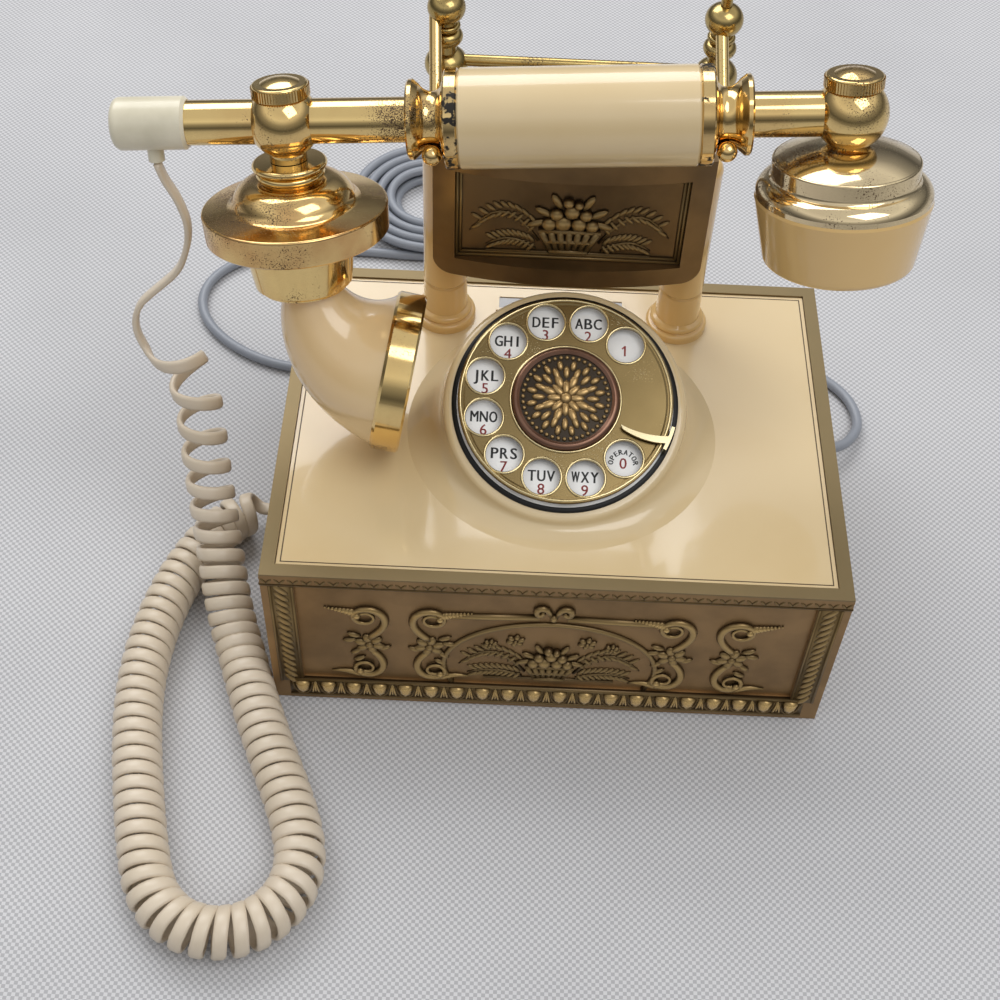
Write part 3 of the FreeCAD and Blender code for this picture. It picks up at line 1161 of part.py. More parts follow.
for item in doc.Objects:
    if "Invalid" in item.State or "Error" in item.State:
        raise RuntimeError("%s failed: %s" % (item.Label, item.getStatusString()))
for part in subparts:
    if part.Shape.isNull() or not part.Shape.isValid() or not part.Shape.Solids:
        raise RuntimeError("%s has no sound solid" % part.Label)

os.makedirs("parts", exist_ok=True)
for part in subparts:
    part.Shape.exportStep("parts/%s.step" % part.Label)
print("%d sub-parts" % len(subparts))
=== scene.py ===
import json
import math
import bmesh
import bpy
from mathutils import Matrix, Vector
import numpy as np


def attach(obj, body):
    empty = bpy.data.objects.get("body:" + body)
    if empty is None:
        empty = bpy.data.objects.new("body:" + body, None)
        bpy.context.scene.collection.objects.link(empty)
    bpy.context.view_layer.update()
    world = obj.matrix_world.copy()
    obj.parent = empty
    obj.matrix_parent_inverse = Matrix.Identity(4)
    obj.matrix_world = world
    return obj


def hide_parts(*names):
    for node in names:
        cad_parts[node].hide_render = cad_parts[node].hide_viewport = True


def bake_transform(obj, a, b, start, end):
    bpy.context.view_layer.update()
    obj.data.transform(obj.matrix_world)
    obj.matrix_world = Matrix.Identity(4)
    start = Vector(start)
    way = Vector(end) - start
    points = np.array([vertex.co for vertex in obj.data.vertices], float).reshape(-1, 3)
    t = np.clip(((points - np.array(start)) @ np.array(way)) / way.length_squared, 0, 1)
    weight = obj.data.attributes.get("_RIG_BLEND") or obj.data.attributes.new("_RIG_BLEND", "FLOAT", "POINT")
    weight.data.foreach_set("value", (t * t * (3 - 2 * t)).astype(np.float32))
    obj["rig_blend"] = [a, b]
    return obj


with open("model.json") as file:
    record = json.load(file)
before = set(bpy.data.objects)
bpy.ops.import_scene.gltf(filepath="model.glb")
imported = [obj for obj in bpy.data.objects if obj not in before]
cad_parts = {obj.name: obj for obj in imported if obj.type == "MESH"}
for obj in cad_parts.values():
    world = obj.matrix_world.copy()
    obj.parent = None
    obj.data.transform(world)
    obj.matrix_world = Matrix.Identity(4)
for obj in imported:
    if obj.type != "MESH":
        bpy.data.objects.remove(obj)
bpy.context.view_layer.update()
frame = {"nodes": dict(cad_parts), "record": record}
nodes = frame["nodes"]
scene = bpy.context.scene
MM = 0.001

# Sizes from the part's source, in millimetres and degrees
CASE_WIDTH = 204.0
CASE_DEPTH = 154.3
CASE_HEIGHT = 76.8
PLINTH_HEIGHT = 13.0
CORNICE_HEIGHT = 5.5
FIELD_RECESS = 1.6
DIAL_CENTRE = (0.9, -13.6, 102.8)
DIAL_TILT = 24.3
NUMBER_FACE = -4.0
WHEEL_RADIUS = 38.2
HOLE_CIRCLE = 29.7
HOLE_RADIUS = 6.6
FIRST_HOLE = 45.4
HOLE_STEP = 30.0
HUB_RADIUS = 19.1
BAR_PLACE = (0.0, 18.0, 200.5)
BAR_TILT = 4.16
BAR_ROLL = 17.0
LEFT_BALL = 95.7
RIGHT_BALL = 84.6
MOUTH_LEAN = 0.8
NUT_LOW = 8.0
NUT_HEIGHT = 4.9
NUT_RADIUS = 9.1

# The camera, solved from the photograph
CAMERA_PLACE = (-21.8, -393.4, 512.3)
CAMERA_AZIMUTH = -0.18
CAMERA_ELEVATION = 50.92
CAMERA_ROLL = 2.68
CAMERA_LENS = 56.78


def placed(point):
    return Vector(point) * MM


def turn(degrees, axis):
    return Matrix.Rotation(math.radians(degrees), 4, axis)


def shift(x, y, z):
    return Matrix.Translation(placed((x, y, z)))


DIAL = shift(*DIAL_CENTRE) @ turn(DIAL_TILT, "X")
HANDSET = shift(*BAR_PLACE) @ turn(-BAR_TILT, "Y") @ turn(-BAR_ROLL, "X")
MOUTH = HANDSET @ shift(-LEFT_BALL, 0, 0) @ turn(-MOUTH_LEAN, "Y")
EAR = HANDSET @ shift(RIGHT_BALL, 0, 0)


def make_camera():
    azimuth = math.radians(CAMERA_AZIMUTH)
    elevation = math.radians(CAMERA_ELEVATION)
    back = Vector((math.sin(azimuth) * math.cos(elevation), -math.cos(azimuth) * math.cos(elevation),
                   math.sin(elevation)))
    right = Vector((math.cos(azimuth), math.sin(azimuth), 0))
    up = back.cross(right)
    level = Matrix((right, up, back)).transposed().to_4x4()
    data = bpy.data.cameras.new("camera")
    data.lens = CAMERA_LENS
    data.clip_start = 0.01
    camera = bpy.data.objects.new("camera", data)
    camera.matrix_world = shift(*CAMERA_PLACE) @ level @ turn(CAMERA_ROLL, "Z")
    scene.collection.objects.link(camera)
    scene.camera = camera


# Pieces


def add_piece(name, mesh, material, body, smooth=True):
    """Links a finished mesh, gives it its finish and lets it ride on a body."""
    if smooth:
        mesh.polygons.foreach_set("use_smooth", [True] * len(mesh.polygons))
    piece = bpy.data.objects.new(name, mesh)
    scene.collection.objects.link(piece)
    mesh.materials.clear()
    mesh.materials.append(material)
    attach(piece, body)
    return piece


def finish_mesh(name, bm, matrix=Matrix()):
    """A mesh from a bmesh drawn in millimetres, set in its place in metres."""
    bmesh.ops.remove_doubles(bm, verts=bm.verts, dist=0.001)
    bmesh.ops.recalc_face_normals(bm, faces=bm.faces)
    bmesh.ops.transform(bm, matrix=matrix @ Matrix.Scale(MM, 4), verts=bm.verts)
    mesh = bpy.data.meshes.new(name)
    bm.to_mesh(mesh)
    bm.free()
    return mesh


def curve_mesh(data):
    """The mesh of a curve or text, whose own object is dropped."""
    holder = bpy.data.objects.new("holder", data)
    scene.collection.objects.link(holder)
    bpy.context.view_layer.update()
    mesh = bpy.data.meshes.new_from_object(holder.evaluated_get(bpy.context.evaluated_depsgraph_get()))
    bpy.data.objects.remove(holder)
    return mesh


def smooth_line(points, steps, unit=MM, widths=None):
    """A curve whose control points are the given points, with a width at each where it is tapered."""
    data = bpy.data.curves.new("route", "CURVE")
    data.dimensions = "3D"
    data.resolution_u = steps
    spline = data.splines.new("NURBS")
    spline.points.add(len(points) - 1)
    for target, point in zip(spline.points, points):
        target.co = (*(Vector(point) * unit), 1.0)
    for target, width in zip(spline.points, widths or []):
        target.radius = width
    spline.order_u = 3
    spline.use_endpoint_u = True
    return data


# Cords

CURL_LINE = [(-137.7, 13.8, 178.2), (-136.6, 13.7, 172.0), (-132.8, 13.6, 164.0), (-129.9, 13.0, 150.4),
             (-134.6, 11.6, 135.0), (-142.0, 10.2, 122.5), (-148.0, 8.0, 111.0), (-141.0, 5.0, 98.0),
             (-134.5, 2.0, 86.0), (-133.0, -4.5, 69.0), (-132.0, -10.0, 57.0), (-130.5, -16.5, 46.0),
             (-128.8, -23.0, 37.5), (-126.8, -31.0, 29.0), (-123.8, -43.0, 20.5), (-120.0, -55.0, 13.5),
             (-115.5, -66.0, 10.2), (-108.5, -85.3, 9.9), (-98.5, -109.0, 9.9), (-88.0, -132.0, 9.9),
             (-83.2, -150.0, 9.9), (-86.6, -164.0, 9.9), (-96.5, -174.0, 9.9), (-110.0, -177.6, 9.9),
             (-123.5, -174.0, 9.9), (-133.4, -164.0, 9.9), (-139.0, -147.0, 9.9), (-144.5, -124.0, 9.9),
             (-149.6, -98.0, 9.9), (-151.5, -74.0, 9.9), (-149.0, -50.0, 9.9), (-144.0, -30.0, 9.9),
             (-137.0, -14.0, 9.9), (-128.5, -2.0, 9.9), (-119.0, 4.5, 9.6), (-114.0, 6.0, 8.4),
             (-111.0, 6.0, 8.0)]
CURL_RADIUS = 7.9
CURL_START = 78.0
CURL_LEAD = 36.0
CURL_EASE = 12.0
LOOSE_CURLS = [17.0, 15.0, 13.0, 11.5, 10.0, 9.0, 8.0, 7.2, 6.6]
CURL_PITCH = 5.9
CURL_END = 3.0
CURL_LEAVE = 10.0
RIBBON_WIDTH = 4.9
RIBBON_THICK = 2.2
CURL_STEPS = 22
ROUTE_STEP = 0.1
TAIL_STEP = 2.0


def resampled(points, step):
    """Points at even steps along a line."""
    spaced = [points[0]]
    left = step
    for start, stop in zip(points, points[1:]):
        span = (stop - start).length
        while left <= span:
            spaced.append(start.lerp(stop, left / span))
            left += step
        left -= span
    return spaced


def curled_frames():
    """The ribbon's middle points and the way it faces at each, in metres."""
    line = curve_mesh(smooth_line(CURL_LINE, 12))
    points = resampled([v.co.copy() for v in line.vertices], ROUTE_STEP * MM)
    total = len(points) * ROUTE_STEP
    side = Vector((-1, 0, 0))
    angle = 0.0
    due = 0.0
    frames = []
    for i in range(1, len(points) - 1):
        along = (points[i + 1] - points[i - 1]).normalized()
        side = (side - along * side.dot(along)).normalized()
        run = i * ROUTE_STEP
        left = max(0.0, total - CURL_END - run)
        number = int(angle / (2 * math.pi))
        pitch = LOOSE_CURLS[number] if number < len(LOOSE_CURLS) else CURL_PITCH
        if left < CURL_LEAVE:
            pitch = 2 * CURL_LEAVE
        eased = max(0.0, min(1.0, (run - CURL_START) / CURL_EASE))
        angle += 2 * math.pi * ROUTE_STEP / pitch * eased
        grown = max(0.0, min(1.0, (run - CURL_START + CURL_LEAD) / CURL_LEAD, left / CURL_LEAVE))
        grown = grown * grown * (3 - 2 * grown)
        out = side * math.cos(angle) - along.cross(side) * math.sin(angle)
        due -= ROUTE_STEP * max(1.0, TAIL_STEP * CURL_STEPS / pitch * eased)
        if due <= 0 or i == len(points) - 2:
            frames.append((points[i] + out * CURL_RADIUS * grown * MM, out))
            due = TAIL_STEP
    return frames


def make_handset_cord(material):
    """A flat ribbon wound in curls: a rounded strip carried along its frames."""
    frames = curled_frames()
    half = RIBBON_WIDTH / 2 * MM
    thin = RIBBON_THICK / 2 * MM
    outline = [(1, -0.5), (1, 0.5), (0.6, 1), (-0.6, 1), (-1, 0.5), (-1, -0.5), (-0.6, -1), (0.6, -1)]
    bm = bmesh.new()
    rings = []
    path = [point for point, out in frames]
    for i, (point, out) in enumerate(frames):
        along = (path[min(i + 1, len(path) - 1)] - path[max(i - 1, 0)]).normalized()
        across = along.cross(out).normalized()
        facing = across.cross(along)
        rings.append([bm.verts.new(point + across * half * a + facing * thin * b) for a, b in outline])
    for ring, following in zip(rings, rings[1:]):
        for i in range(len(outline)):
            j = (i + 1) % len(outline)
            bm.faces.new((ring[i], ring[j], following[j], following[i]))
    bm.faces.new(rings[0])
    bm.faces.new(rings[-1])
    bmesh.ops.recalc_face_normals(bm, faces=bm.faces)
    mesh = bpy.data.meshes.new("curly_cord")
    bm.to_mesh(mesh)
    bm.free()
    mesh.polygons.foreach_set("use_smooth", [True] * len(mesh.polygons))
    mesh.materials.append(material)
    piece = bpy.data.objects.new("curly_cord", mesh)
    scene.collection.objects.link(piece)
    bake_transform(piece, "base", "handset", start=placed((-135, -4, 60)), end=placed((-137, 13.8, 178)))
    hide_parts("handset_cord")


LINE_ROUTE = [(111.0, 52.0, 8.0), (118.0, 52.0, 8.0), (124.4, 55.0, 7.0), (129.2, 60.4, 5.2),
              (135.0, 71.5, 2.8), (132.0, 88.5, 2.4), (118.0, 102.5, 2.4), (97.0, 111.0, 2.4),
              (68.0, 113.5, 2.4), (36.0, 108.0, 2.4), (0.0, 104.5, 2.4),
              (-40.0, 99.5, 2.4), (-78.0, 92.5, 2.4), (-113.0, 89.5, 2.4), (-139.0, 99.0, 2.4),
              (-158.0, 117.0, 2.4), (-163.0, 138.0, 2.4), (-152.0, 157.0, 2.4), (-128.0, 168.0, 2.4),
              (-95.0, 169.8, 2.4)]
COIL_CENTRE = (-60.0, 206.0)
COIL_ENTRY = 270.0
COIL_TURNS = 4
COIL_LOOP = 27.0
COIL_PITCH = 5.6
LINE_RADIUS = 2.2
PLUG_RISE = 3.5
PLUG_LEAD = 70.0
COIL_POINTS = 16


def coil_points():
    """Loops that spiral in on the desk, climb, and spiral out on top, then leave to the plug."""
    inner = COIL_LOOP - COIL_PITCH * COIL_TURNS / 2
    points = []
    for i in range(2 * COIL_TURNS * COIL_POINTS + 1):
        turns = i / COIL_POINTS - COIL_TURNS
        radius = (inner + COIL_PITCH * abs(turns)) / math.cos(math.pi / COIL_POINTS)
        angle = math.radians(COIL_ENTRY + 360 * turns)
        climb = (2 * LINE_RADIUS + 1.0) * max(0.0, min(1.0, turns * 4))
        x = COIL_CENTRE[0] + radius * math.cos(angle)
        y = COIL_CENTRE[1] + radius * math.sin(angle)
        points.append((x, y, LINE_RADIUS + 0.2 + climb))
    last = Vector(points[-1])
    for share, drop in ((0.35, 0.0), (0.7, 1.0), (1.0, 1.0)):
        points.append((last.x + PLUG_LEAD * share, last.y, last.z + (PLUG_RISE - last.z) * drop))
    return points


def make_line_cord(material):
    data = smooth_line(LINE_ROUTE + coil_points(), 6)
    data.bevel_depth = LINE_RADIUS * MM
    data.bevel_resolution = 3
    data.use_fill_caps = True
    data.materials.append(material)
    piece = bpy.data.objects.new("desk_lead", data)
    scene.collection.objects.link(piece)
    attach(piece, "base")
    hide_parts("line_cord", "line_coil")


# Finishes


def node_group(name, inputs, outputs):
    group = bpy.data.node_groups.new(name, "ShaderNodeTree")
    for label, default in inputs:
        kind = "NodeSocketColor" if isinstance(default, tuple) else "NodeSocketFloat"
        group.interface.new_socket(label, in_out="INPUT", socket_type=kind).default_value = default
    for label, kind in outputs:
        group.interface.new_socket(label, in_out="OUTPUT", socket_type=kind)
    start = group.nodes.new("NodeGroupInput")
    stop = group.nodes.new("NodeGroupOutput")
    return group, start.outputs, stop.inputs


def add_node(tree, kind, inputs=(), **settings):
    """A node with some settings, and inputs given as numbers or as sockets to link."""
    node = tree.nodes.new("ShaderNode" + kind)
    for name, setting in settings.items():
        setattr(node, name, setting)
    for key, entry in dict(inputs).items():
        if isinstance(entry, bpy.types.NodeSocket):
            tree.links.new(entry, node.inputs[key])
        else:
            node.inputs[key].default_value = entry
    return node


def speckle_group():
    """Small dark pits where a plating has failed, thicker in some patches than others."""
    group, given, out = node_group(
        "speckle", [("Density", 0.3), ("Size", 900.0), ("Patch", 60.0)], [("Mask", "NodeSocketFloat")])
    place = add_node(group, "TexCoord").outputs["Object"]
    fine = add_node(group, "TexNoise", {"Vector": place, "Scale": given["Size"], "Detail": 2.0})
    broad = add_node(group, "TexNoise", {"Vector": place, "Scale": given["Patch"], "Detail": 3.0})
    both = add_node(group, "Math", {0: fine.outputs["Fac"], 1: broad.outputs["Fac"]}, operation="MULTIPLY")
    edge = add_node(group, "Math", {0: 0.52, 1: given["Density"]}, operation="SUBTRACT")
    top = add_node(group, "Math", {0: edge.outputs[0], 1: 0.05}, operation="ADD")
    mask = add_node(group, "MapRange", {"Value": both.outputs[0], "From Min": edge.outputs[0],
                                        "From Max": top.outputs[0]})
    group.links.new(mask.outputs["Result"], out["Mask"])
    return group


def clouding_group():
    """A slow drift of tone, as handling and age leave on a finish."""
    group, given, out = node_group(
        "clouding", [("Colour", (0.8, 0.8, 0.8, 1.0)), ("Tint", (0.5, 0.5, 0.5, 1.0)), ("Amount", 0.3),
                     ("Scale", 40.0)], [("Colour", "NodeSocketColor"), ("Mask", "NodeSocketFloat")])
    place = add_node(group, "TexCoord").outputs["Object"]
    cloud = add_node(group, "TexNoise", {"Vector": place, "Scale": given["Scale"], "Detail": 4.0})
    spread = add_node(group, "MapRange", {"Value": cloud.outputs["Fac"], "From Min": 0.4, "From Max": 0.68})
    share = add_node(group, "Math", {0: spread.outputs["Result"], 1: given["Amount"]}, operation="MULTIPLY")
    mixed = add_node(group, "Mix", {0: share.outputs[0], 6: given["Colour"], 7: given["Tint"]},
                     data_type="RGBA")
    group.links.new(mixed.outputs[2], out["Colour"])
    group.links.new(spread.outputs["Result"], out["Mask"])
    return group


SPECKLE = speckle_group()
CLOUDING = clouding_group()


def new_finish(name, **values):
    """A material with its shader's plain values set, and its tree and shader returned."""
    material = bpy.data.materials.new(name)
    material.use_nodes = True
    tree = material.node_tree
    shader = next(n for n in tree.nodes if n.type == "BSDF_PRINCIPLED")
    for key, entry in values.items():
        shader.inputs[key.replace("_", " ")].default_value = entry
    return material, tree, shader


def use_group(tree, group, inputs):
    node = tree.nodes.new("ShaderNodeGroup")
    node.node_tree = group
    for key, entry in inputs.items():
        if isinstance(entry, bpy.types.NodeSocket):
            tree.links.new(entry, node.inputs[key])
        else:
            node.inputs[key].default_value = entry
    return node


def clouded(name, colour, tint, amount, scale, **values):
    material, tree, shader = new_finish(name, **values)
    cloud = use_group(tree, CLOUDING, {"Colour": (*colour, 1), "Tint": (*tint, 1), "Amount": amount,
                                       "Scale": scale})
    tree.links.new(cloud.outputs["Colour"], shader.inputs["Base Color"])
    return material


def pitted(name, colour, tint, amount, density, roughness, size=2400.0, pit=(0.10, 0.06, 0.028)):
    """Bright plating: clouded colour under pits or flecks that are rougher and less metallic."""
    material, tree, shader = new_finish(name)
    cloud = use_group(tree, CLOUDING, {"Colour": (*colour, 1), "Tint": (*tint, 1), "Amount": amount,
                                       "Scale": 55.0})
    pits = use_group(tree, SPECKLE, {"Density": density, "Size": size, "Patch": 45.0})
    mixed = add_node(tree, "Mix", {0: pits.outputs["Mask"], 6: cloud.outputs["Colour"], 7: (*pit, 1)},
                     data_type="RGBA")
    tree.links.new(mixed.outputs[2], shader.inputs["Base Color"])
    rough = add_node(tree, "MapRange", {"Value": pits.outputs["Mask"], "To Min": roughness, "To Max": 0.6})
    tree.links.new(rough.outputs["Result"], shader.inputs["Roughness"])
    bare = add_node(tree, "MapRange", {"Value": pits.outputs["Mask"], "To Min": 1.0, "To Max": 0.4})
    tree.links.new(bare.outputs["Result"], shader.inputs["Metallic"])
    return material


def worn_and_lit_bronze(name, dark, bright, roughness, rim=None):
    """Old bronze that turns bright where the mesh's own attribute is high: worn raised work with a painted
    highlight on faces turned outward, while the dark colour left elsewhere is patina with painted shade.

    The case's rim, its highest face, is worn to a colour of its own where one is given.
    """
    material, tree, shader = new_finish(name, Metallic=0.65)
    cloud = use_group(tree, CLOUDING, {"Colour": (*dark, 1), "Tint": (*[c * 0.55 for c in dark], 1),
                                       "Amount": 0.6, "Scale": 60.0})
    wear_and_highlight = add_node(tree, "Attribute", attribute_name="wear_and_highlight").outputs["Fac"]
    if rim:
        place = add_node(tree, "TexCoord").outputs["Object"]
        height = add_node(tree, "SeparateXYZ", {0: place}).outputs["Z"]
        top = CASE_HEIGHT * MM
        wear_and_highlight = add_node(tree, "MapRange", {"Value": height, "From Min": top - 0.0012, "From Max": top - 0.0002,
                                          "To Max": 0.9}).outputs["Result"]
    # Bright colour where the attribute is high, which is worn raised work plus painted highlight; the dark
    # colour is patina plus painted shade. A given rim takes its own worn colour instead.
    mixed = add_node(tree, "Mix", {0: wear_and_highlight, 6: cloud.outputs["Colour"], 7: (*(rim or bright), 1)},
                     data_type="RGBA")
    tree.links.new(mixed.outputs[2], shader.inputs["Base Color"])
    worn = roughness * (1.2 if rim else 0.7)
    rough = add_node(tree, "MapRange", {"Value": wear_and_highlight, "To Min": roughness, "To Max": worn})
    tree.links.new(rough.outputs["Result"], shader.inputs["Roughness"])
    return material


def aged_ivory(name, colour, tint):
    """Glossy moulded plastic that has yellowed unevenly."""
    return clouded(name, colour, tint, 0.6, 18.0, Roughness=0.2, Coat_Weight=0.7, Coat_Roughness=0.06)


FINISHES = {
    "ivory_plastic": aged_ivory("ivory", (0.73, 0.57, 0.33), (0.67, 0.50, 0.26)),
    "antique_bronze": worn_and_lit_bronze("antique_bronze", (0.36, 0.22, 0.095), (0.45, 0.34, 0.16), 0.38),
    "polished_gold": pitted("polished_gold", (0.82, 0.60, 0.26), (0.68, 0.43, 0.17), 0.5, 0.175, 0.1),
    "satin_brass": pitted("satin_brass", (0.215, 0.155, 0.068), (0.17, 0.12, 0.05), 0.6, 0.165, 0.25, 2200.0,
                          (0.5, 0.42, 0.26)),
    "copper_brown": clouded("copper_brown", (0.22, 0.12, 0.08), (0.15, 0.075, 0.05), 0.5, 90.0,
                            Metallic=0.8, Roughness=0.3),
    "white_enamel": clouded("white_enamel", (0.94, 0.94, 0.93), (0.85, 0.85, 0.83), 0.3, 50.0, Roughness=0.3),
    "black_trim": clouded("black_trim", (0.006, 0.0055, 0.005), (0.015, 0.015, 0.015), 0.4, 80.0,
                          Roughness=0.4, Specular_IOR_Level=0.25),
    "steel": clouded("steel", (0.5, 0.5, 0.5), (0.3, 0.3, 0.3), 0.4, 60.0, Metallic=1.0, Roughness=0.35),
    "gear_brass": clouded("gear_brass", (0.6, 0.45, 0.2), (0.4, 0.28, 0.1), 0.4, 90.0, Metallic=1.0,
                          Roughness=0.3),
    "copper_coil": clouded("copper_coil", (0.4, 0.16, 0.07), (0.2, 0.08, 0.04), 0.5, 300.0, Metallic=0.6,
                           Roughness=0.4),
    "phenolic": clouded("phenolic", (0.07, 0.04, 0.03), (0.04, 0.02, 0.015), 0.5, 60.0, Roughness=0.4),
    "foot_rubber": clouded("foot_rubber", (0.02, 0.02, 0.02), (0.05, 0.05, 0.05), 0.4, 90.0, Roughness=0.8),
    # The pane over the card is an opaque bluish grey that paints the reflection it shows.
    "clear_window": clouded("clear_window", (0.40, 0.41, 0.43), (0.34, 0.34, 0.36), 0.3, 60.0, Roughness=0.1),
    "capsule": clouded("capsule", (0.55, 0.55, 0.55), (0.4, 0.4, 0.4), 0.4, 60.0, Metallic=1.0,
                       Roughness=0.4),
    "cap_plastic": clouded("cap_plastic", (0.78, 0.72, 0.56), (0.6, 0.55, 0.4), 0.6, 70.0,
                           Roughness=0.3, Coat_Weight=0.2),
    "curly_cord": clouded("cord_ribbon", (0.70, 0.60, 0.47), (0.62, 0.52, 0.38), 0.5, 30.0, Roughness=0.34),
    "line_vinyl": clouded("line_vinyl", (0.27, 0.29, 0.33), (0.23, 0.25, 0.29), 0.4, 40.0, Roughness=0.35),
    "clear_plug": clouded("clear_plug", (0.6, 0.6, 0.58), (0.5, 0.5, 0.48), 0.3, 60.0, Roughness=0.15),
}
# Relief and rosette bronzes: dark patina with painted shade, and gold where the raised work is worn and where
# a painted highlight marks faces turned outward.
RELIEF = worn_and_lit_bronze("relief_bronze", (0.065, 0.038, 0.016), (0.82, 0.56, 0.22), 0.34)
MEDAL = worn_and_lit_bronze("medal_bronze", (0.035, 0.024, 0.014), (0.52, 0.34, 0.14), 0.4)
CASE_BRONZE = worn_and_lit_bronze("case_bronze", (0.36, 0.22, 0.095), (0.45, 0.34, 0.16), 0.4, (0.22, 0.17, 0.085))
PANEL_BRONZE = worn_and_lit_bronze("panel_bronze", (0.20, 0.125, 0.055), (0.45, 0.34, 0.16), 0.3)
# A deeper, more orange copy of the ivory for the columns and the ear cap, painting the warm shade on them.
WARM_SHADE_IVORY = aged_ivory("warm_shade_ivory", (0.75, 0.50, 0.20), (0.70, 0.44, 0.15))
# A paler copy of the ivory for the horn, painting the light it catches.
LIT_HORN_IVORY = aged_ivory("lit_horn_ivory", (0.82, 0.60, 0.32), (0.77, 0.51, 0.24))
BRIGHT_BRASS = clouded("bright_brass", (0.70, 0.58, 0.33), (0.5, 0.39, 0.19), 0.5, 80.0, Metallic=1.0,
                       Roughness=0.16)
PALE_BRASS = clouded("pale_brass", (0.62, 0.53, 0.33), (0.5, 0.41, 0.23), 0.5, 120.0, Metallic=1.0,
                     Roughness=0.2)
AGED_GOLD = pitted("aged_gold", (0.50, 0.37, 0.15), (0.33, 0.23, 0.08), 0.8, 0.2, 0.2)
COPPERED_GOLD = pitted("coppered_gold", (0.80, 0.57, 0.25), (0.55, 0.30, 0.12), 0.8, 0.205, 0.12)
WORN_GOLD = pitted("worn_gold", (0.80, 0.65, 0.40), (0.66, 0.52, 0.33), 0.6, 0.2, 0.09)
CHIPPED_GOLD = pitted("chipped_gold", (0.78, 0.57, 0.26), (0.5, 0.32, 0.14), 0.7, 0.255, 0.12, 420.0,
                      (0.02, 0.016, 0.012))
BLACK_PRINT = clouded("black_print", (0.015, 0.015, 0.015), (0.04, 0.04, 0.04), 0.4, 90.0, Roughness=0.5)
RED_PRINT = clouded("red_print", (0.42, 0.06, 0.05), (0.34, 0.05, 0.05), 0.4, 90.0, Roughness=0.5)
SHADOW_LINE = clouded("shadow_line", (0.10, 0.065, 0.03), (0.06, 0.04, 0.02), 0.5, 70.0, Roughness=0.6)
OWN_FINISHES = {"dial_medallion": MEDAL, "case_frame": CASE_BRONZE, "finger_stop": PALE_BRASS,
                "fork_post_left": AGED_GOLD, "fork_post_right": AGED_GOLD, "crossbar": AGED_GOLD,
                "mouth_disc": COPPERED_GOLD, "ear_shell": WORN_GOLD, "grip_collars": CHIPPED_GOLD,
                "cradle_panel": PANEL_BRONZE,
                "column_left": WARM_SHADE_IVORY, "column_right": WARM_SHADE_IVORY, "ear_cap": WARM_SHADE_IVORY,
                "mouth_horn": LIT_HORN_IVORY}


def dress_nodes():
    """Every node of the part takes the finish of its slot, or its own variety of it."""
    for entry in frame["record"]["subparts"]:
        mesh = nodes[entry["node"]].data
        mesh.materials.clear()
        mesh.materials.append(OWN_FINISHES.get(entry["node"], FINISHES[entry["material_slot"]]))


# Relief, drawn flat in millimetres: x along a wall, y up it and z out of it. How bright each point
# is comes from a mesh attribute: wear on the raised work plus painted highlight and painted shade by facing.

FIELD = -FIELD_RECESS


def new_relief():
    bm = bmesh.new()
    bm.verts.layers.float.new("wear_and_highlight")
    return bm


def mark_wear_and_highlight(bm, verts, gain):
    layer = bm.verts.layers.float["wear_and_highlight"]
    for vert in verts:
        vert[layer] = gain


def relief_mesh(draw, *sizes):
    """A piece of relief drawn once, to be stamped wherever it repeats."""
    bm = new_relief()
    draw(bm, *sizes)
    mesh = bpy.data.meshes.new("relief_piece")
    bm.to_mesh(mesh)
    bm.free()
    return mesh


def stamp(bm, mesh, x=0.0, y=0.0, flip=1):
    """A copy of a drawn piece, moved along the wall and turned over where it is a mirror image."""
    copy = mesh.copy()
    copy.transform(Matrix.Translation((x, y, 0)) @ Matrix.Diagonal((flip, 1, 1, 1)))
    bm.from_mesh(copy)
    bpy.data.meshes.remove(copy)


def bead(bm, place, radii, degrees=0.0, gain=0.5):
    """A flattened ball, sunk by half in the wall."""
    matrix = Matrix.Translation(place) @ turn(degrees, "Z") @ Matrix.Diagonal((*radii, 1))
    made = bmesh.ops.create_uvsphere(bm, u_segments=8, v_segments=6, radius=1, matrix=matrix)
    mark_wear_and_highlight(bm, made["verts"], gain)


def reed(bm, start, stop, radius, gain=0.4):
    """A half-round bar between two points of the wall."""
    along = Vector(stop) - Vector(start)
    upright = Vector((0, 0, 1)).rotation_difference(along).to_matrix().to_4x4()
    made = bmesh.ops.create_cone(bm, cap_ends=True, segments=8, radius1=radius, radius2=radius,
                                 depth=along.length, matrix=Matrix.Translation(start) @ upright
                                 @ Matrix.Translation((0, 0, along.length / 2)))
    mark_wear_and_highlight(bm, made["verts"], gain)


def stem(bm, line, widths, gain=0.45):
    """A tapered round stem through points of the wall."""
    data = smooth_line(line, 2, 1.0, widths)
    data.bevel_depth = 1.0
    data.bevel_resolution = 1
    data.use_fill_caps = True
    mesh = curve_mesh(data)
    wear_and_highlight = mesh.attributes.new("wear_and_highlight", "FLOAT", "POINT")
    wear_and_highlight.data.foreach_set("value", [gain] * len(mesh.vertices))
    bm.from_mesh(mesh)


def volute(start, heading, turning, length, power=1.8, count=18):
    """Points of a stem that curls in on itself: its heading turns ever faster along it."""
    point = Vector((*start, 0))
    line = [point.copy()]
    for i in range(count):
        angle = math.radians(heading + turning * ((i + 0.5) / count) ** power)
        point = point + Vector((math.cos(angle), math.sin(angle), 0)) * length / count
        line.append(point.copy())
    return line


def flower(bm, x, y, z, radius, petals=6, gain=0.5):
    for i in range(petals):
        angle = 2 * math.pi * i / petals + 0.3
        bead(bm, (x + radius * 0.6 * math.cos(angle), y + radius * 0.6 * math.sin(angle), z),
             (radius * 0.5, radius * 0.34, 1.3), math.degrees(angle), gain)
    bead(bm, (x, y, z + 0.5), (radius * 0.3, radius * 0.3, 1.4), 0, gain)


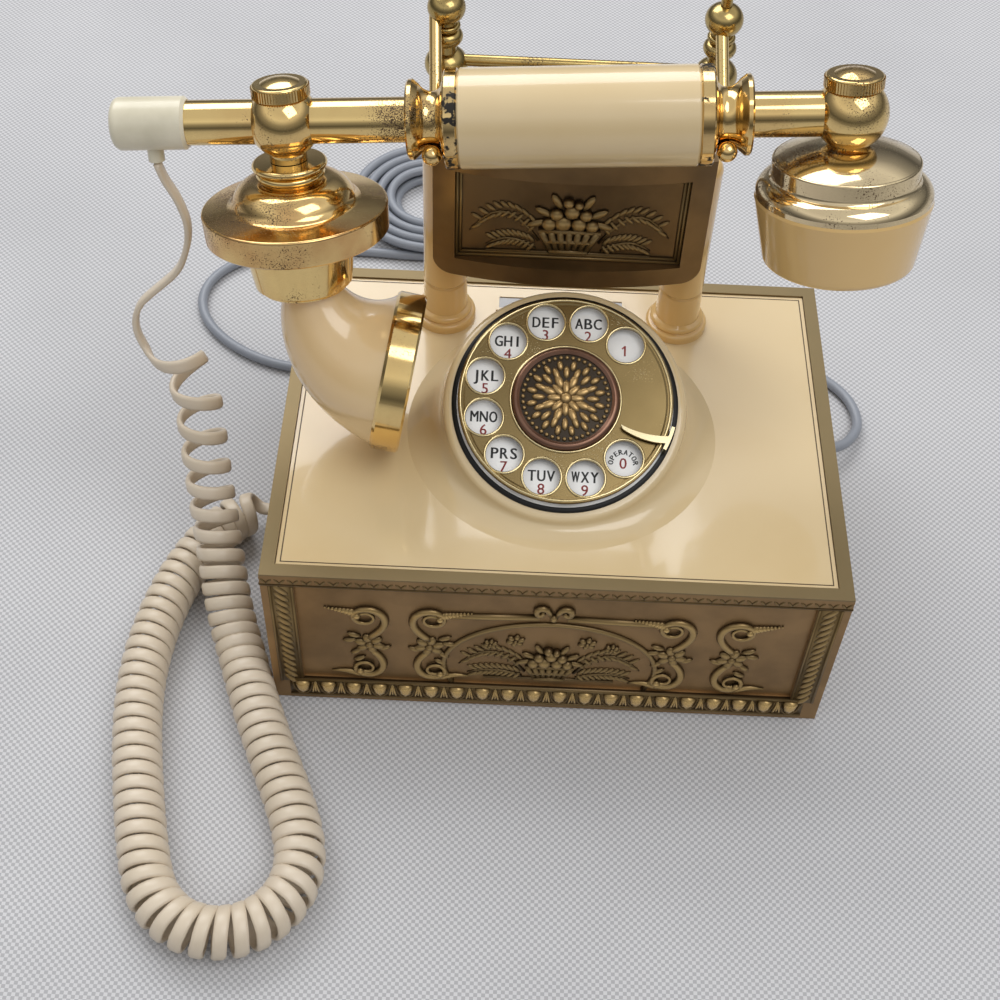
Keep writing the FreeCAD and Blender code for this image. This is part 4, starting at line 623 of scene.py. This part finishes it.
SCROLL_GAP = 2.3
UPPER_SCROLL = ((8.6, 26.0), 135, -560, 52)
LOWER_SCROLL = ((8.0, 18.5), 232, 540, 45)
LOWER_TAIL = ((8, 1.6), (12, 2.0), (16, 3.6), (19, 4.1), (23, 3.4))
SMALL_LEAVES = ((14.0, 27.5, 20), (15.6, 24.2, -10), (13.6, 17.0, -40), (3.2, 20.0, 160),
                (12.5, 12.5, -30))


def draw_scroll(bm):
    """Two volutes with a flower between them and tapering tails, to the right of a middle line."""
    z = FIELD + 0.3
    for scroll in (UPPER_SCROLL, LOWER_SCROLL):
        line = volute(*scroll)
        shares = [i / (len(line) - 1) for i in range(len(line))]
        stem(bm, [(SCROLL_GAP + p.x, p.y, z + share * 0.8) for p, share in zip(line, shares)],
             [0.7 + 0.9 * math.sin(math.pi * min(1, 0.25 + share)) for share in shares], 0.75)
        bead(bm, (SCROLL_GAP + line[-1].x, line[-1].y, z + 1.0), (1.5, 1.5, 1.3), 0, 1.0)
    for i in range(9):
        share = i / 8
        bead(bm, (SCROLL_GAP + 13.5 + 10 * share, 41.4 + 2.2 * share, z),
             (1.7 - 1.2 * share, 2.4 - 1.9 * share, 1.6 - 1.0 * share), 32, 0.8)
    stem(bm, [(SCROLL_GAP + u, y, z) for u, y in LOWER_TAIL], (1.0, 1.5, 1.3, 0.9, 0.4), 0.8)
    flower(bm, SCROLL_GAP + 8.5, 22.0, z, 5.6)
    for u, y, lean in SMALL_LEAVES:
        bead(bm, (SCROLL_GAP + u, y, z), (2.8, 1.2, 1.2), lean, 0.5)


def draw_spray(bm, start, run, rise, z):
    """A leafy branch that arches out to the right."""
    line = [(start[0] + run * a, start[1] + rise * b, z)
            for a, b in ((0, 0), (0.2, 0.6), (0.5, 1.0), (0.8, 0.8), (1.0, 0.25))]
    stem(bm, line, (0.7, 0.65, 0.55, 0.45, 0.3), 0.3)
    for i in range(9):
        share = (i + 1) / 10
        x = start[0] + run * share
        y = start[1] + rise * math.sin(math.pi * (0.12 + 0.76 * share))
        for up in (-1, 1):
            bead(bm, (x, y + up * 2.2, z), (2.6, 0.9, 0.8), up * (55 - 25 * share), 0.4)


def fruit_basket(bm, x, y, z, scale):
    """A ribbed basket heaped with fruit and leaves, on a short ground line."""
    for i in range(7):
        lean = (i - 3) / 3
        reed(bm, (x + lean * 5 * scale, y, z), (x + lean * 8 * scale, y + 8 * scale, z + 1.2),
             1.15 * scale, 0.5)
    for level, half in ((0.4, 5.6), (4.2, 7.0), (8.0, 9.0)):
        reed(bm, (x - half * scale, y + level * scale, z + 1.0),
             (x + half * scale, y + level * scale, z + 1.0), 0.8 * scale, 0.6)
    for dx, dy, radius in ((-6, 10.6, 2.4), (-2, 11, 2.8), (2.6, 10.8, 2.5), (6.4, 10.4, 2.2),
                           (-4, 14.2, 2.2), (0.4, 15.2, 2.5), (4.4, 14.2, 2.1), (-0.8, 18.6, 1.8),
                           (2.2, 18, 1.5)):
        bead(bm, (x + dx * scale, y + dy * scale, z + 0.8), (radius * scale, radius * scale, 2.0), 0, 0.6)
    for dx, dy, lean in ((-9.6, 10.4, 200), (9.6, 10.2, -20), (-7.6, 14.6, 150), (8.0, 14.4, 30),
                         (-4, 18.6, 120), (5, 18.4, 60)):
        bead(bm, (x + dx * scale, y + dy * scale, z + 0.3), (3.2 * scale, 1.3 * scale, 1.0), lean, 0.45)
    reed(bm, (x - 24 * scale, y - 0.8, z), (x + 24 * scale, y - 0.8, z), 0.7, 0.35)


EGG_PITCH = 9.6
BAND_END = 6.0
BAND_LOW = 2.4
BAND_HIGH = 12.4
GLAND_ROOM = 8.0


def draw_egg(bm):
    """An egg with its top cut flat by the moulding, in a raised shell."""
    bead(bm, (0, 10.2, 0.2), (2.9, 6.4, 2.0), 0, 1.2)
    cut = bmesh.ops.bisect_plane(bm, geom=bm.verts[:] + bm.edges[:] + bm.faces[:], plane_co=(0, 11.6, 0),
                                 plane_no=(0, 1, 0), clear_outer=True)
    bmesh.ops.holes_fill(bm, edges=[e for e in cut["geom_cut"] if isinstance(e, bmesh.types.BMEdge)])
    rim = [(3.8 * math.cos(a), 10.4 + 7.6 * math.sin(a), 0.0)
           for a in (math.radians(180 + 18 * k) for k in range(11))]
    stem(bm, rim, [0.5] * len(rim), 0.25)


def draw_dart(bm):
    """A leaf of three ribs that spread downwards between two eggs."""
    for lean in (-1, 0, 1):
        bead(bm, (lean * 0.8, 8.0 - abs(lean) * 0.6, 0.1), (0.62, 4.0, 1.4), lean * 9, 1.0)


def backing(bm, low, high, gain):
    """A thin dark strip behind a band, between two corners: dark patina and painted shade in the band's
    hollows.
    """
    across = high[0] - low[0]
    up = high[1] - low[1]
    middle = Matrix.Translation((low[0] + across / 2, low[1] + up / 2, 0))
    made = bmesh.ops.create_cube(bm, size=1, matrix=middle @ Matrix.Diagonal((across, up, 0.3, 1)))
    mark_wear_and_highlight(bm, made["verts"], gain)


def egg_band(bm, length, gaps):
    """Eggs in their shells with a leaf between each two, along the foot of a wall."""
    run = length - 2 * BAND_END
    # Dark strip behind the eggs: patina and painted shade between them.
    backing(bm, (-run / 2, BAND_LOW), (run / 2, BAND_HIGH), 0.5)
    count = round(run / EGG_PITCH)
    pitch = run / count
    for i in range(count):
        x = (i + 0.5) * pitch - run / 2
        if any(abs(x - gap) < GLAND_ROOM for gap in gaps):
            continue
        stamp(bm, EGG, x)
        if i < count - 1:
            stamp(bm, DART, x + pitch / 2)
    for y, radius in ((BAND_LOW, 0.8), (BAND_HIGH, 1.0)):
        reed(bm, (-run / 2, y, -0.2), (run / 2, y, -0.2), radius, 0.5)


LEAVES_UP = 16
LEAF_LONG = 3.9
LEAF_INSET = 7.0


def edge_bands(bm, length):
    """Upright bands of slanting leaves at the two ends of a wall."""
    low = PLINTH_HEIGHT - 2
    high = CASE_HEIGHT - CORNICE_HEIGHT - 1
    for side in (-1, 1):
        middle = side * (length / 2 - LEAF_INSET)
        # Dark strip behind the leaves: patina and painted shade between them.
        backing(bm, (middle - LEAF_LONG, low), (middle + LEAF_LONG, high), 0.7)
        for i in range(LEAVES_UP):
            y = low + (high - low) * (i + 0.5) / LEAVES_UP
            bead(bm, (middle, y, 0), (LEAF_LONG, 1.3, 1.1), side * 48, 0.5)
        for offset in (-LEAF_LONG, LEAF_LONG):
            reed(bm, (middle + offset, low, -0.1), (middle + offset, high, -0.1), 0.6, 0.5)


def cornice_band(bm, length):
    """Small hanging leaves under the rim."""
    count = round(length / 4.6)
    for i in range(count):
        x = (i + 0.5) * length / count - length / 2
        for lean in (-1, 1):
            bead(bm, (x + lean * 0.9, CASE_HEIGHT - 3.6, -0.1), (1.7, 0.6, 0.6), lean * 52, 0.3)
    reed(bm, (-length / 2, CASE_HEIGHT - 5.6, -0.1), (length / 2, CASE_HEIGHT - 5.6, -0.1), 0.5, 0.3)


def oval_frame(bm, half, low, tall):
    line = [(half * math.cos(a), low + tall * math.sin(a), FIELD + 0.2)
            for a in (math.radians(-24 + 12 * k) for k in range(20))]
    stem(bm, line, [1.15] * len(line), 0.5)


def bow(bm, y):
    """A ribbon bow with rods running out from it to both sides."""
    for side in (-1, 1):
        loop = [(side * u, y + v, FIELD + 0.7)
                for u, v in ((0.8, -2.5), (1.5, 1.5), (4.2, 3.8), (6.6, 1.6), (5.6, -1.6), (3.4, -0.8),
                             (3.8, 1.0))]
        stem(bm, loop, (0.7, 1.2, 1.4, 1.4, 1.2, 1.0, 0.8), 0.6)
        reed(bm, (side * 5, y - 3.2, FIELD + 0.1), (side * 41, y - 4.6, FIELD + 0.1), 1.5, 0.9)
    bead(bm, (0, y - 2.6, FIELD + 0.8), (1.5, 1.9, 1.4), 0, 0.6)


def draw_field(bm, scrolls, half, scale):
    """The picture in a wall's field: scrolls, a bow and an oval round a basket of fruit."""
    for axis, side in scrolls:
        stamp(bm, SCROLL, axis, 0, side)
    oval_frame(bm, half, 11, 28)
    bow(bm, 46)
    fruit_basket(bm, 0, 4.5, FIELD + 0.2, scale)
    arch = relief_mesh(draw_spray, (9 * scale, 8), 24 * half / 39, 13, FIELD + 0.1)
    low = relief_mesh(draw_spray, (10 * scale, 5), 20 * half / 39, 3.5, FIELD + 0.1)
    for side in (-1, 1):
        stamp(bm, arch, 0, 0, side)
        stamp(bm, low, 0, 0, side)
        flower(bm, side * half * 0.33, 28, FIELD + 0.2, 3.4)
        flower(bm, side * half * 0.56, 25.5, FIELD + 0.2, 2.6)


EGG = relief_mesh(draw_egg)
DART = relief_mesh(draw_dart)
SCROLL = relief_mesh(draw_scroll)
LONG_FIELD = relief_mesh(draw_field, [(-54.6, -1), (-54.6, 1), (54.6, -1), (54.6, 1)], 39, 1.0)
SHORT_FIELD = relief_mesh(draw_field, [(-58.0, 1), (58.0, -1)], 27, 0.8)


def wall_relief(length, gaps, field):
    """All the relief of one wall of the case."""
    bm = new_relief()
    egg_band(bm, length, gaps)
    edge_bands(bm, length)
    cornice_band(bm, length)
    stamp(bm, field, 0, PLINTH_HEIGHT + 1)
    return bm


def finish_relief(name, bm, matrix, material, body):
    """Cuts each point's brightness where its surface leans away from the wall's own facing, so worn faces
    turned outward carry a painted highlight and the flanks fall dark as painted shade, then sets the piece in
    place.
    """
    bmesh.ops.recalc_face_normals(bm, faces=bm.faces)
    bm.normal_update()
    layer = bm.verts.layers.float["wear_and_highlight"]
    # Painted highlight and shade: faces turned outward stay bright, flanks fall to the dark colour.
    for vert in bm.verts:
        vert[layer] *= max(0.0, vert.normal.z) ** 2
    return add_piece(name, finish_mesh(name, bm, matrix), material, body)


def make_case_relief():
    for number, name in enumerate(("front", "right", "back", "left")):
        long = number % 2 == 0
        half = (CASE_DEPTH if long else CASE_WIDTH) / 2
        gaps = {"right": [52.0], "left": [-6.0]}.get(name, [])
        wall = turn(90 * number, "Z") @ shift(0, -half, 0) @ turn(90, "X")
        bm = wall_relief(CASE_WIDTH if long else CASE_DEPTH, gaps, LONG_FIELD if long else SHORT_FIELD)
        finish_relief(name + "_relief", bm, wall, RELIEF, "base")


PANEL_FRONT = 35.0
PANEL_FLOOR = 7.0
PANEL_LOW = 111.0
PANEL_HALF = 49.3
PANEL_TALL = 56.0
PANEL_BORDER = 8.0


def make_panel_relief():
    """The basket, the sprays and the stepped inner frame of the panel under the handset."""
    bm = new_relief()
    fruit_basket(bm, 0, 11.5, 0.2, 1.25)
    arch = relief_mesh(draw_spray, (11, 16), 25, 14, 0.1)
    low = relief_mesh(draw_spray, (12, 12), 18, 5, 0.1)
    for side in (-1, 1):
        stamp(bm, arch, 0, 0, side)
        stamp(bm, low, 0, 0, side)
    inner = PANEL_HALF - PANEL_BORDER
    for step, z in ((0.6, 0.6), (1.9, 0.2)):
        low = PANEL_BORDER + step
        for y in (low, PANEL_TALL - low):
            reed(bm, (step - inner, y, z), (inner - step, y, z), 0.8, 0.8)
        for side in (-1, 1):
            reed(bm, (side * (inner - step), low, z), (side * (inner - step), PANEL_TALL - low, z), 0.8, 0.5)
    place = shift(0, PANEL_FRONT + PANEL_FLOOR, PANEL_LOW) @ turn(90, "X")
    finish_relief("panel_relief", bm, place, RELIEF, "base")


PLATE_HALF = (96.8, 71.95)
PLATE_TOP = 76.0
BORDER_INSET = 1.3
BORDER_WIDTH = 0.6


def make_border():
    """The thin dark groove that runs round the ivory plate, just inside its edge."""
    bm = bmesh.new()
    bmesh.ops.create_grid(bm, x_segments=1, y_segments=1, size=1)
    across, along = (half - BORDER_INSET for half in PLATE_HALF)
    bmesh.ops.scale(bm, vec=(across, along, 1), verts=bm.verts)
    middle = bm.faces[:]
    bmesh.ops.inset_region(bm, faces=middle, thickness=BORDER_WIDTH, use_boundary=True)
    bmesh.ops.delete(bm, geom=middle, context="FACES")
    bmesh.ops.solidify(bm, geom=bm.faces, thickness=-0.08)
    bmesh.ops.translate(bm, vec=(0, 0, PLATE_TOP - 0.03), verts=bm.verts)
    add_piece("plate_border", finish_mesh("plate_border", bm), SHADOW_LINE, "base", False)


# Dial


def ring_mesh(bm, x, y, z, radius, thick, steps):
    """A round ring, turned from a small circle."""
    place = Matrix.Translation((x + radius, y, z)) @ turn(90, "X")
    made = bmesh.ops.create_circle(bm, segments=6, radius=thick, matrix=place)
    bmesh.ops.spin(bm, geom=made["verts"] + list({e for v in made["verts"] for e in v.link_edges}),
                   cent=(x, y, z), axis=(0, 0, 1), angle=2 * math.pi, steps=steps, use_merge=True)


def hole_places():
    for number in range(10):
        angle = math.radians(FIRST_HOLE + HOLE_STEP * number)
        yield number, HOLE_CIRCLE * math.cos(angle), HOLE_CIRCLE * math.sin(angle)


def make_dial_rims():
    """Raised bright rims round the finger holes, the wheel's edge and the hub."""
    bm = bmesh.new()
    for _, x, y in hole_places():
        ring_mesh(bm, x, y, -0.3, HOLE_RADIUS + 0.35, 0.5, 28)
    ring_mesh(bm, 0, 0, -0.15, WHEEL_RADIUS - 0.9, 0.6, 72)
    ring_mesh(bm, 0, 0, -0.1, HUB_RADIUS + 0.5, 0.5, 48)
    add_piece("wheel_rims", finish_mesh("wheel_rims", bm, DIAL), BRIGHT_BRASS, "dial_rotor")


PETAL_RINGS = ((8, 3.9, 3.2, 1.6, 0.0), (8, 6.6, 3.2, 1.7, 22.5), (16, 9.6, 2.7, 1.35, 0.0),
               (16, 12.2, 2.2, 1.3, 11.25))


def make_medallion():
    """A rosette in rings of petals and beads."""
    bm = new_relief()
    for count, radius, long, broad, phase in PETAL_RINGS:
        for i in range(count):
            degrees = phase + 360 * i / count
            angle = math.radians(degrees)
            bead(bm, (radius * math.cos(angle), radius * math.sin(angle), 0.9), (long, broad, 1.1), degrees,
                 0.9)
    for i in range(44):
        angle = 2 * math.pi * i / 44
        bead(bm, (15.1 * math.cos(angle), 15.1 * math.sin(angle), 0.8), (0.9, 0.9, 0.8), 0, 0.7)
    bead(bm, (0, 0, 1.3), (2.4, 2.4, 1.4), 0, 1.0)
    finish_relief("dial_rosette", bm, DIAL, MEDAL, "dial_rotor")


def letter_mesh(letter, height, broad):
    """A flat letter a given height tall and at most so broad, in millimetres, about its own middle."""
    data = bpy.data.curves.new("letter", "FONT")
    data.body = letter
    data.size = height * 1.4
    data.align_x = "CENTER"
    data.align_y = "CENTER"
    data.extrude = 0.04
    data.resolution_u = 3
    mesh = curve_mesh(data)
    across = [vert.co.x for vert in mesh.vertices]
    middle = (min(across) + max(across)) / 2
    narrow = min(1.0, broad / (max(across) - min(across)))
    mesh.transform(Matrix.Diagonal((narrow, 1, 1, 1)) @ Matrix.Translation((-middle, 0, 0)))
    return mesh


LETTERS = ("", "ABC", "DEF", "GHI", "JKL", "MNO", "PRS", "TUV", "WXY", "")
LETTER_HEIGHT = 4.1
LETTER_BROAD = 2.7
LETTER_PITCH = 3.35
DIGIT_HEIGHT = 4.0
OPERATOR = "OPERATOR"
OPERATOR_ARC = 4.3
PRINT_FACE = NUMBER_FACE + 0.05


def print_letter(bm, letter, height, broad, matrix, bold):
    """Prints a letter; a bold one is two copies set a little aside of each other."""
    drawn = letter_mesh(letter, height, broad)
    for aside in (-bold / 2, bold / 2) if bold else (0.0,):
        mesh = drawn.copy()
        mesh.transform(matrix @ Matrix.Translation((aside, 0, 0)))
        bm.from_mesh(mesh)


def make_numbers():
    """The printed letters and numbers, all upright, that show through the finger holes."""
    letters = bmesh.new()
    digits = bmesh.new()
    for number, x, y in hole_places():
        digit = str((number + 1) % 10)
        low = Matrix.Translation((x, y - (3.7 if LETTERS[number] else 1.0), PRINT_FACE))
        print_letter(digits, digit, DIGIT_HEIGHT, 2.7, low, 0.1)
        if digit == "1":
            flag = low @ Matrix.Translation((-0.55, 1.45, 0)) @ turn(40, "Z")
            bmesh.ops.create_cube(digits, size=1, matrix=flag @ Matrix.Diagonal((1.3, 0.5, 0.08, 1)))
        for i, letter in enumerate(LETTERS[number]):
            at = Matrix.Translation((x + (i - 1) * LETTER_PITCH, y + 1.1, PRINT_FACE))
            print_letter(letters, letter, LETTER_HEIGHT, LETTER_BROAD, at, 0.26)
        if digit == "0":
            for i, letter in enumerate(OPERATOR):
                at = low @ turn(84 - 24 * i, "Z") @ Matrix.Translation((0, OPERATOR_ARC, 0))
                print_letter(letters, letter, 1.9, 1.35, at, 0.2)
    add_piece("dial_letters", finish_mesh("dial_letters", letters, DIAL), BLACK_PRINT, "base",
              False)
    add_piece("dial_digits", finish_mesh("dial_digits", digits, DIAL), RED_PRINT, "base",
              False)


# Handset trim


RIDGES = 60


def make_knurls():
    """The fine upright ridges round both nuts."""
    for name, place in (("knurl_left", MOUTH), ("knurl_right", EAR)):
        bm = bmesh.new()
        for i in range(RIDGES):
            ridge = Matrix.Translation((NUT_RADIUS, 0, NUT_LOW + NUT_HEIGHT / 2))
            ridge = ridge @ Matrix.Diagonal((0.7, 0.5, NUT_HEIGHT - 1.6, 1))
            bmesh.ops.create_cube(bm, size=1, matrix=turn(360 * i / RIDGES, "Z") @ ridge)
        add_piece(name, finish_mesh(name, bm, place), FINISHES["polished_gold"], "handset",
                  False)


# Stage


def add_area(name, place, aim, width, height, power):
    data = bpy.data.lights.new(name, "AREA")
    data.shape = "RECTANGLE"
    data.size = width
    data.size_y = height
    data.energy = power
    lamp = bpy.data.objects.new(name, data)
    toward = Vector(aim) - Vector(place)
    lamp.matrix_world = Matrix.Translation(place) @ toward.to_track_quat("-Z", "Y").to_matrix().to_4x4()
    scene.collection.objects.link(lamp)


def woven_cloth():
    """A pale woven cover: fine crossing threads over a slow drift of tone."""
    material, tree, shader = new_finish("desk_cloth", Roughness=0.9)
    cloud = use_group(tree, CLOUDING, {"Colour": (0.62, 0.62, 0.635, 1), "Tint": (0.55, 0.55, 0.565, 1),
                                       "Amount": 0.6, "Scale": 9.0})
    place = add_node(tree, "TexCoord").outputs["Object"]
    warp = add_node(tree, "TexChecker", {"Vector": place, "Color1": (1, 1, 1, 1),
                                         "Color2": (0.68, 0.68, 0.69, 1), "Scale": 760.0})
    woven = add_node(tree, "Mix", {0: 1.0, 6: cloud.outputs["Colour"], 7: warp.outputs["Color"]},
                     data_type="RGBA", blend_type="MULTIPLY")
    tree.links.new(woven.outputs[2], shader.inputs["Base Color"])
    return material


FLOOR_HALF = 3000
FLOOR_DROP = 0.2
SKY_STRENGTH = 0.72
SKY_STOPS = ((0.0, 0.30), (0.12, 0.14), (0.4, 0.45), (0.62, 1.15), (0.85, 0.95))


def make_stage():
    bm = bmesh.new()
    bmesh.ops.create_grid(bm, x_segments=1, y_segments=1, size=FLOOR_HALF)
    floor = bpy.data.objects.new("floor", finish_mesh("floor", bm))
    floor.location.z = -FLOOR_DROP * MM
    floor.data.materials.append(woven_cloth())
    scene.collection.objects.link(floor)
    add_area("window", (-0.5, 1.1, 1.5), (0, 0, 0.1), 1.6, 1.0, 17)
    add_area("ceiling", (0.6, -0.5, 1.7), (0, 0, 0.1), 1.0, 1.0, 9)
    world = bpy.data.worlds.new("studio")
    scene.world = world
    world.use_nodes = True
    tree = world.node_tree
    back = next(n for n in tree.nodes if n.type == "BACKGROUND")
    ray = add_node(tree, "TexCoord").outputs["Generated"]
    height = add_node(tree, "SeparateXYZ", {0: ray}).outputs["Z"]
    ramp = add_node(tree, "ValToRGB", {0: height})
    stops = ramp.color_ramp.elements
    while len(stops) < len(SKY_STOPS):
        stops.new(1.0)
    for stop, (place, level) in zip(stops, SKY_STOPS):
        stop.position = place
        stop.color = (level, level, level, 1)
    tree.links.new(ramp.outputs["Color"], back.inputs["Color"])
    back.inputs["Strength"].default_value = SKY_STRENGTH


make_camera()
make_handset_cord(FINISHES["curly_cord"])
make_line_cord(FINISHES["line_vinyl"])
dress_nodes()
make_case_relief()
make_panel_relief()
make_border()
make_dial_rims()
make_medallion()
make_numbers()
make_knurls()
make_stage()

scene.view_settings.view_transform = "Standard"
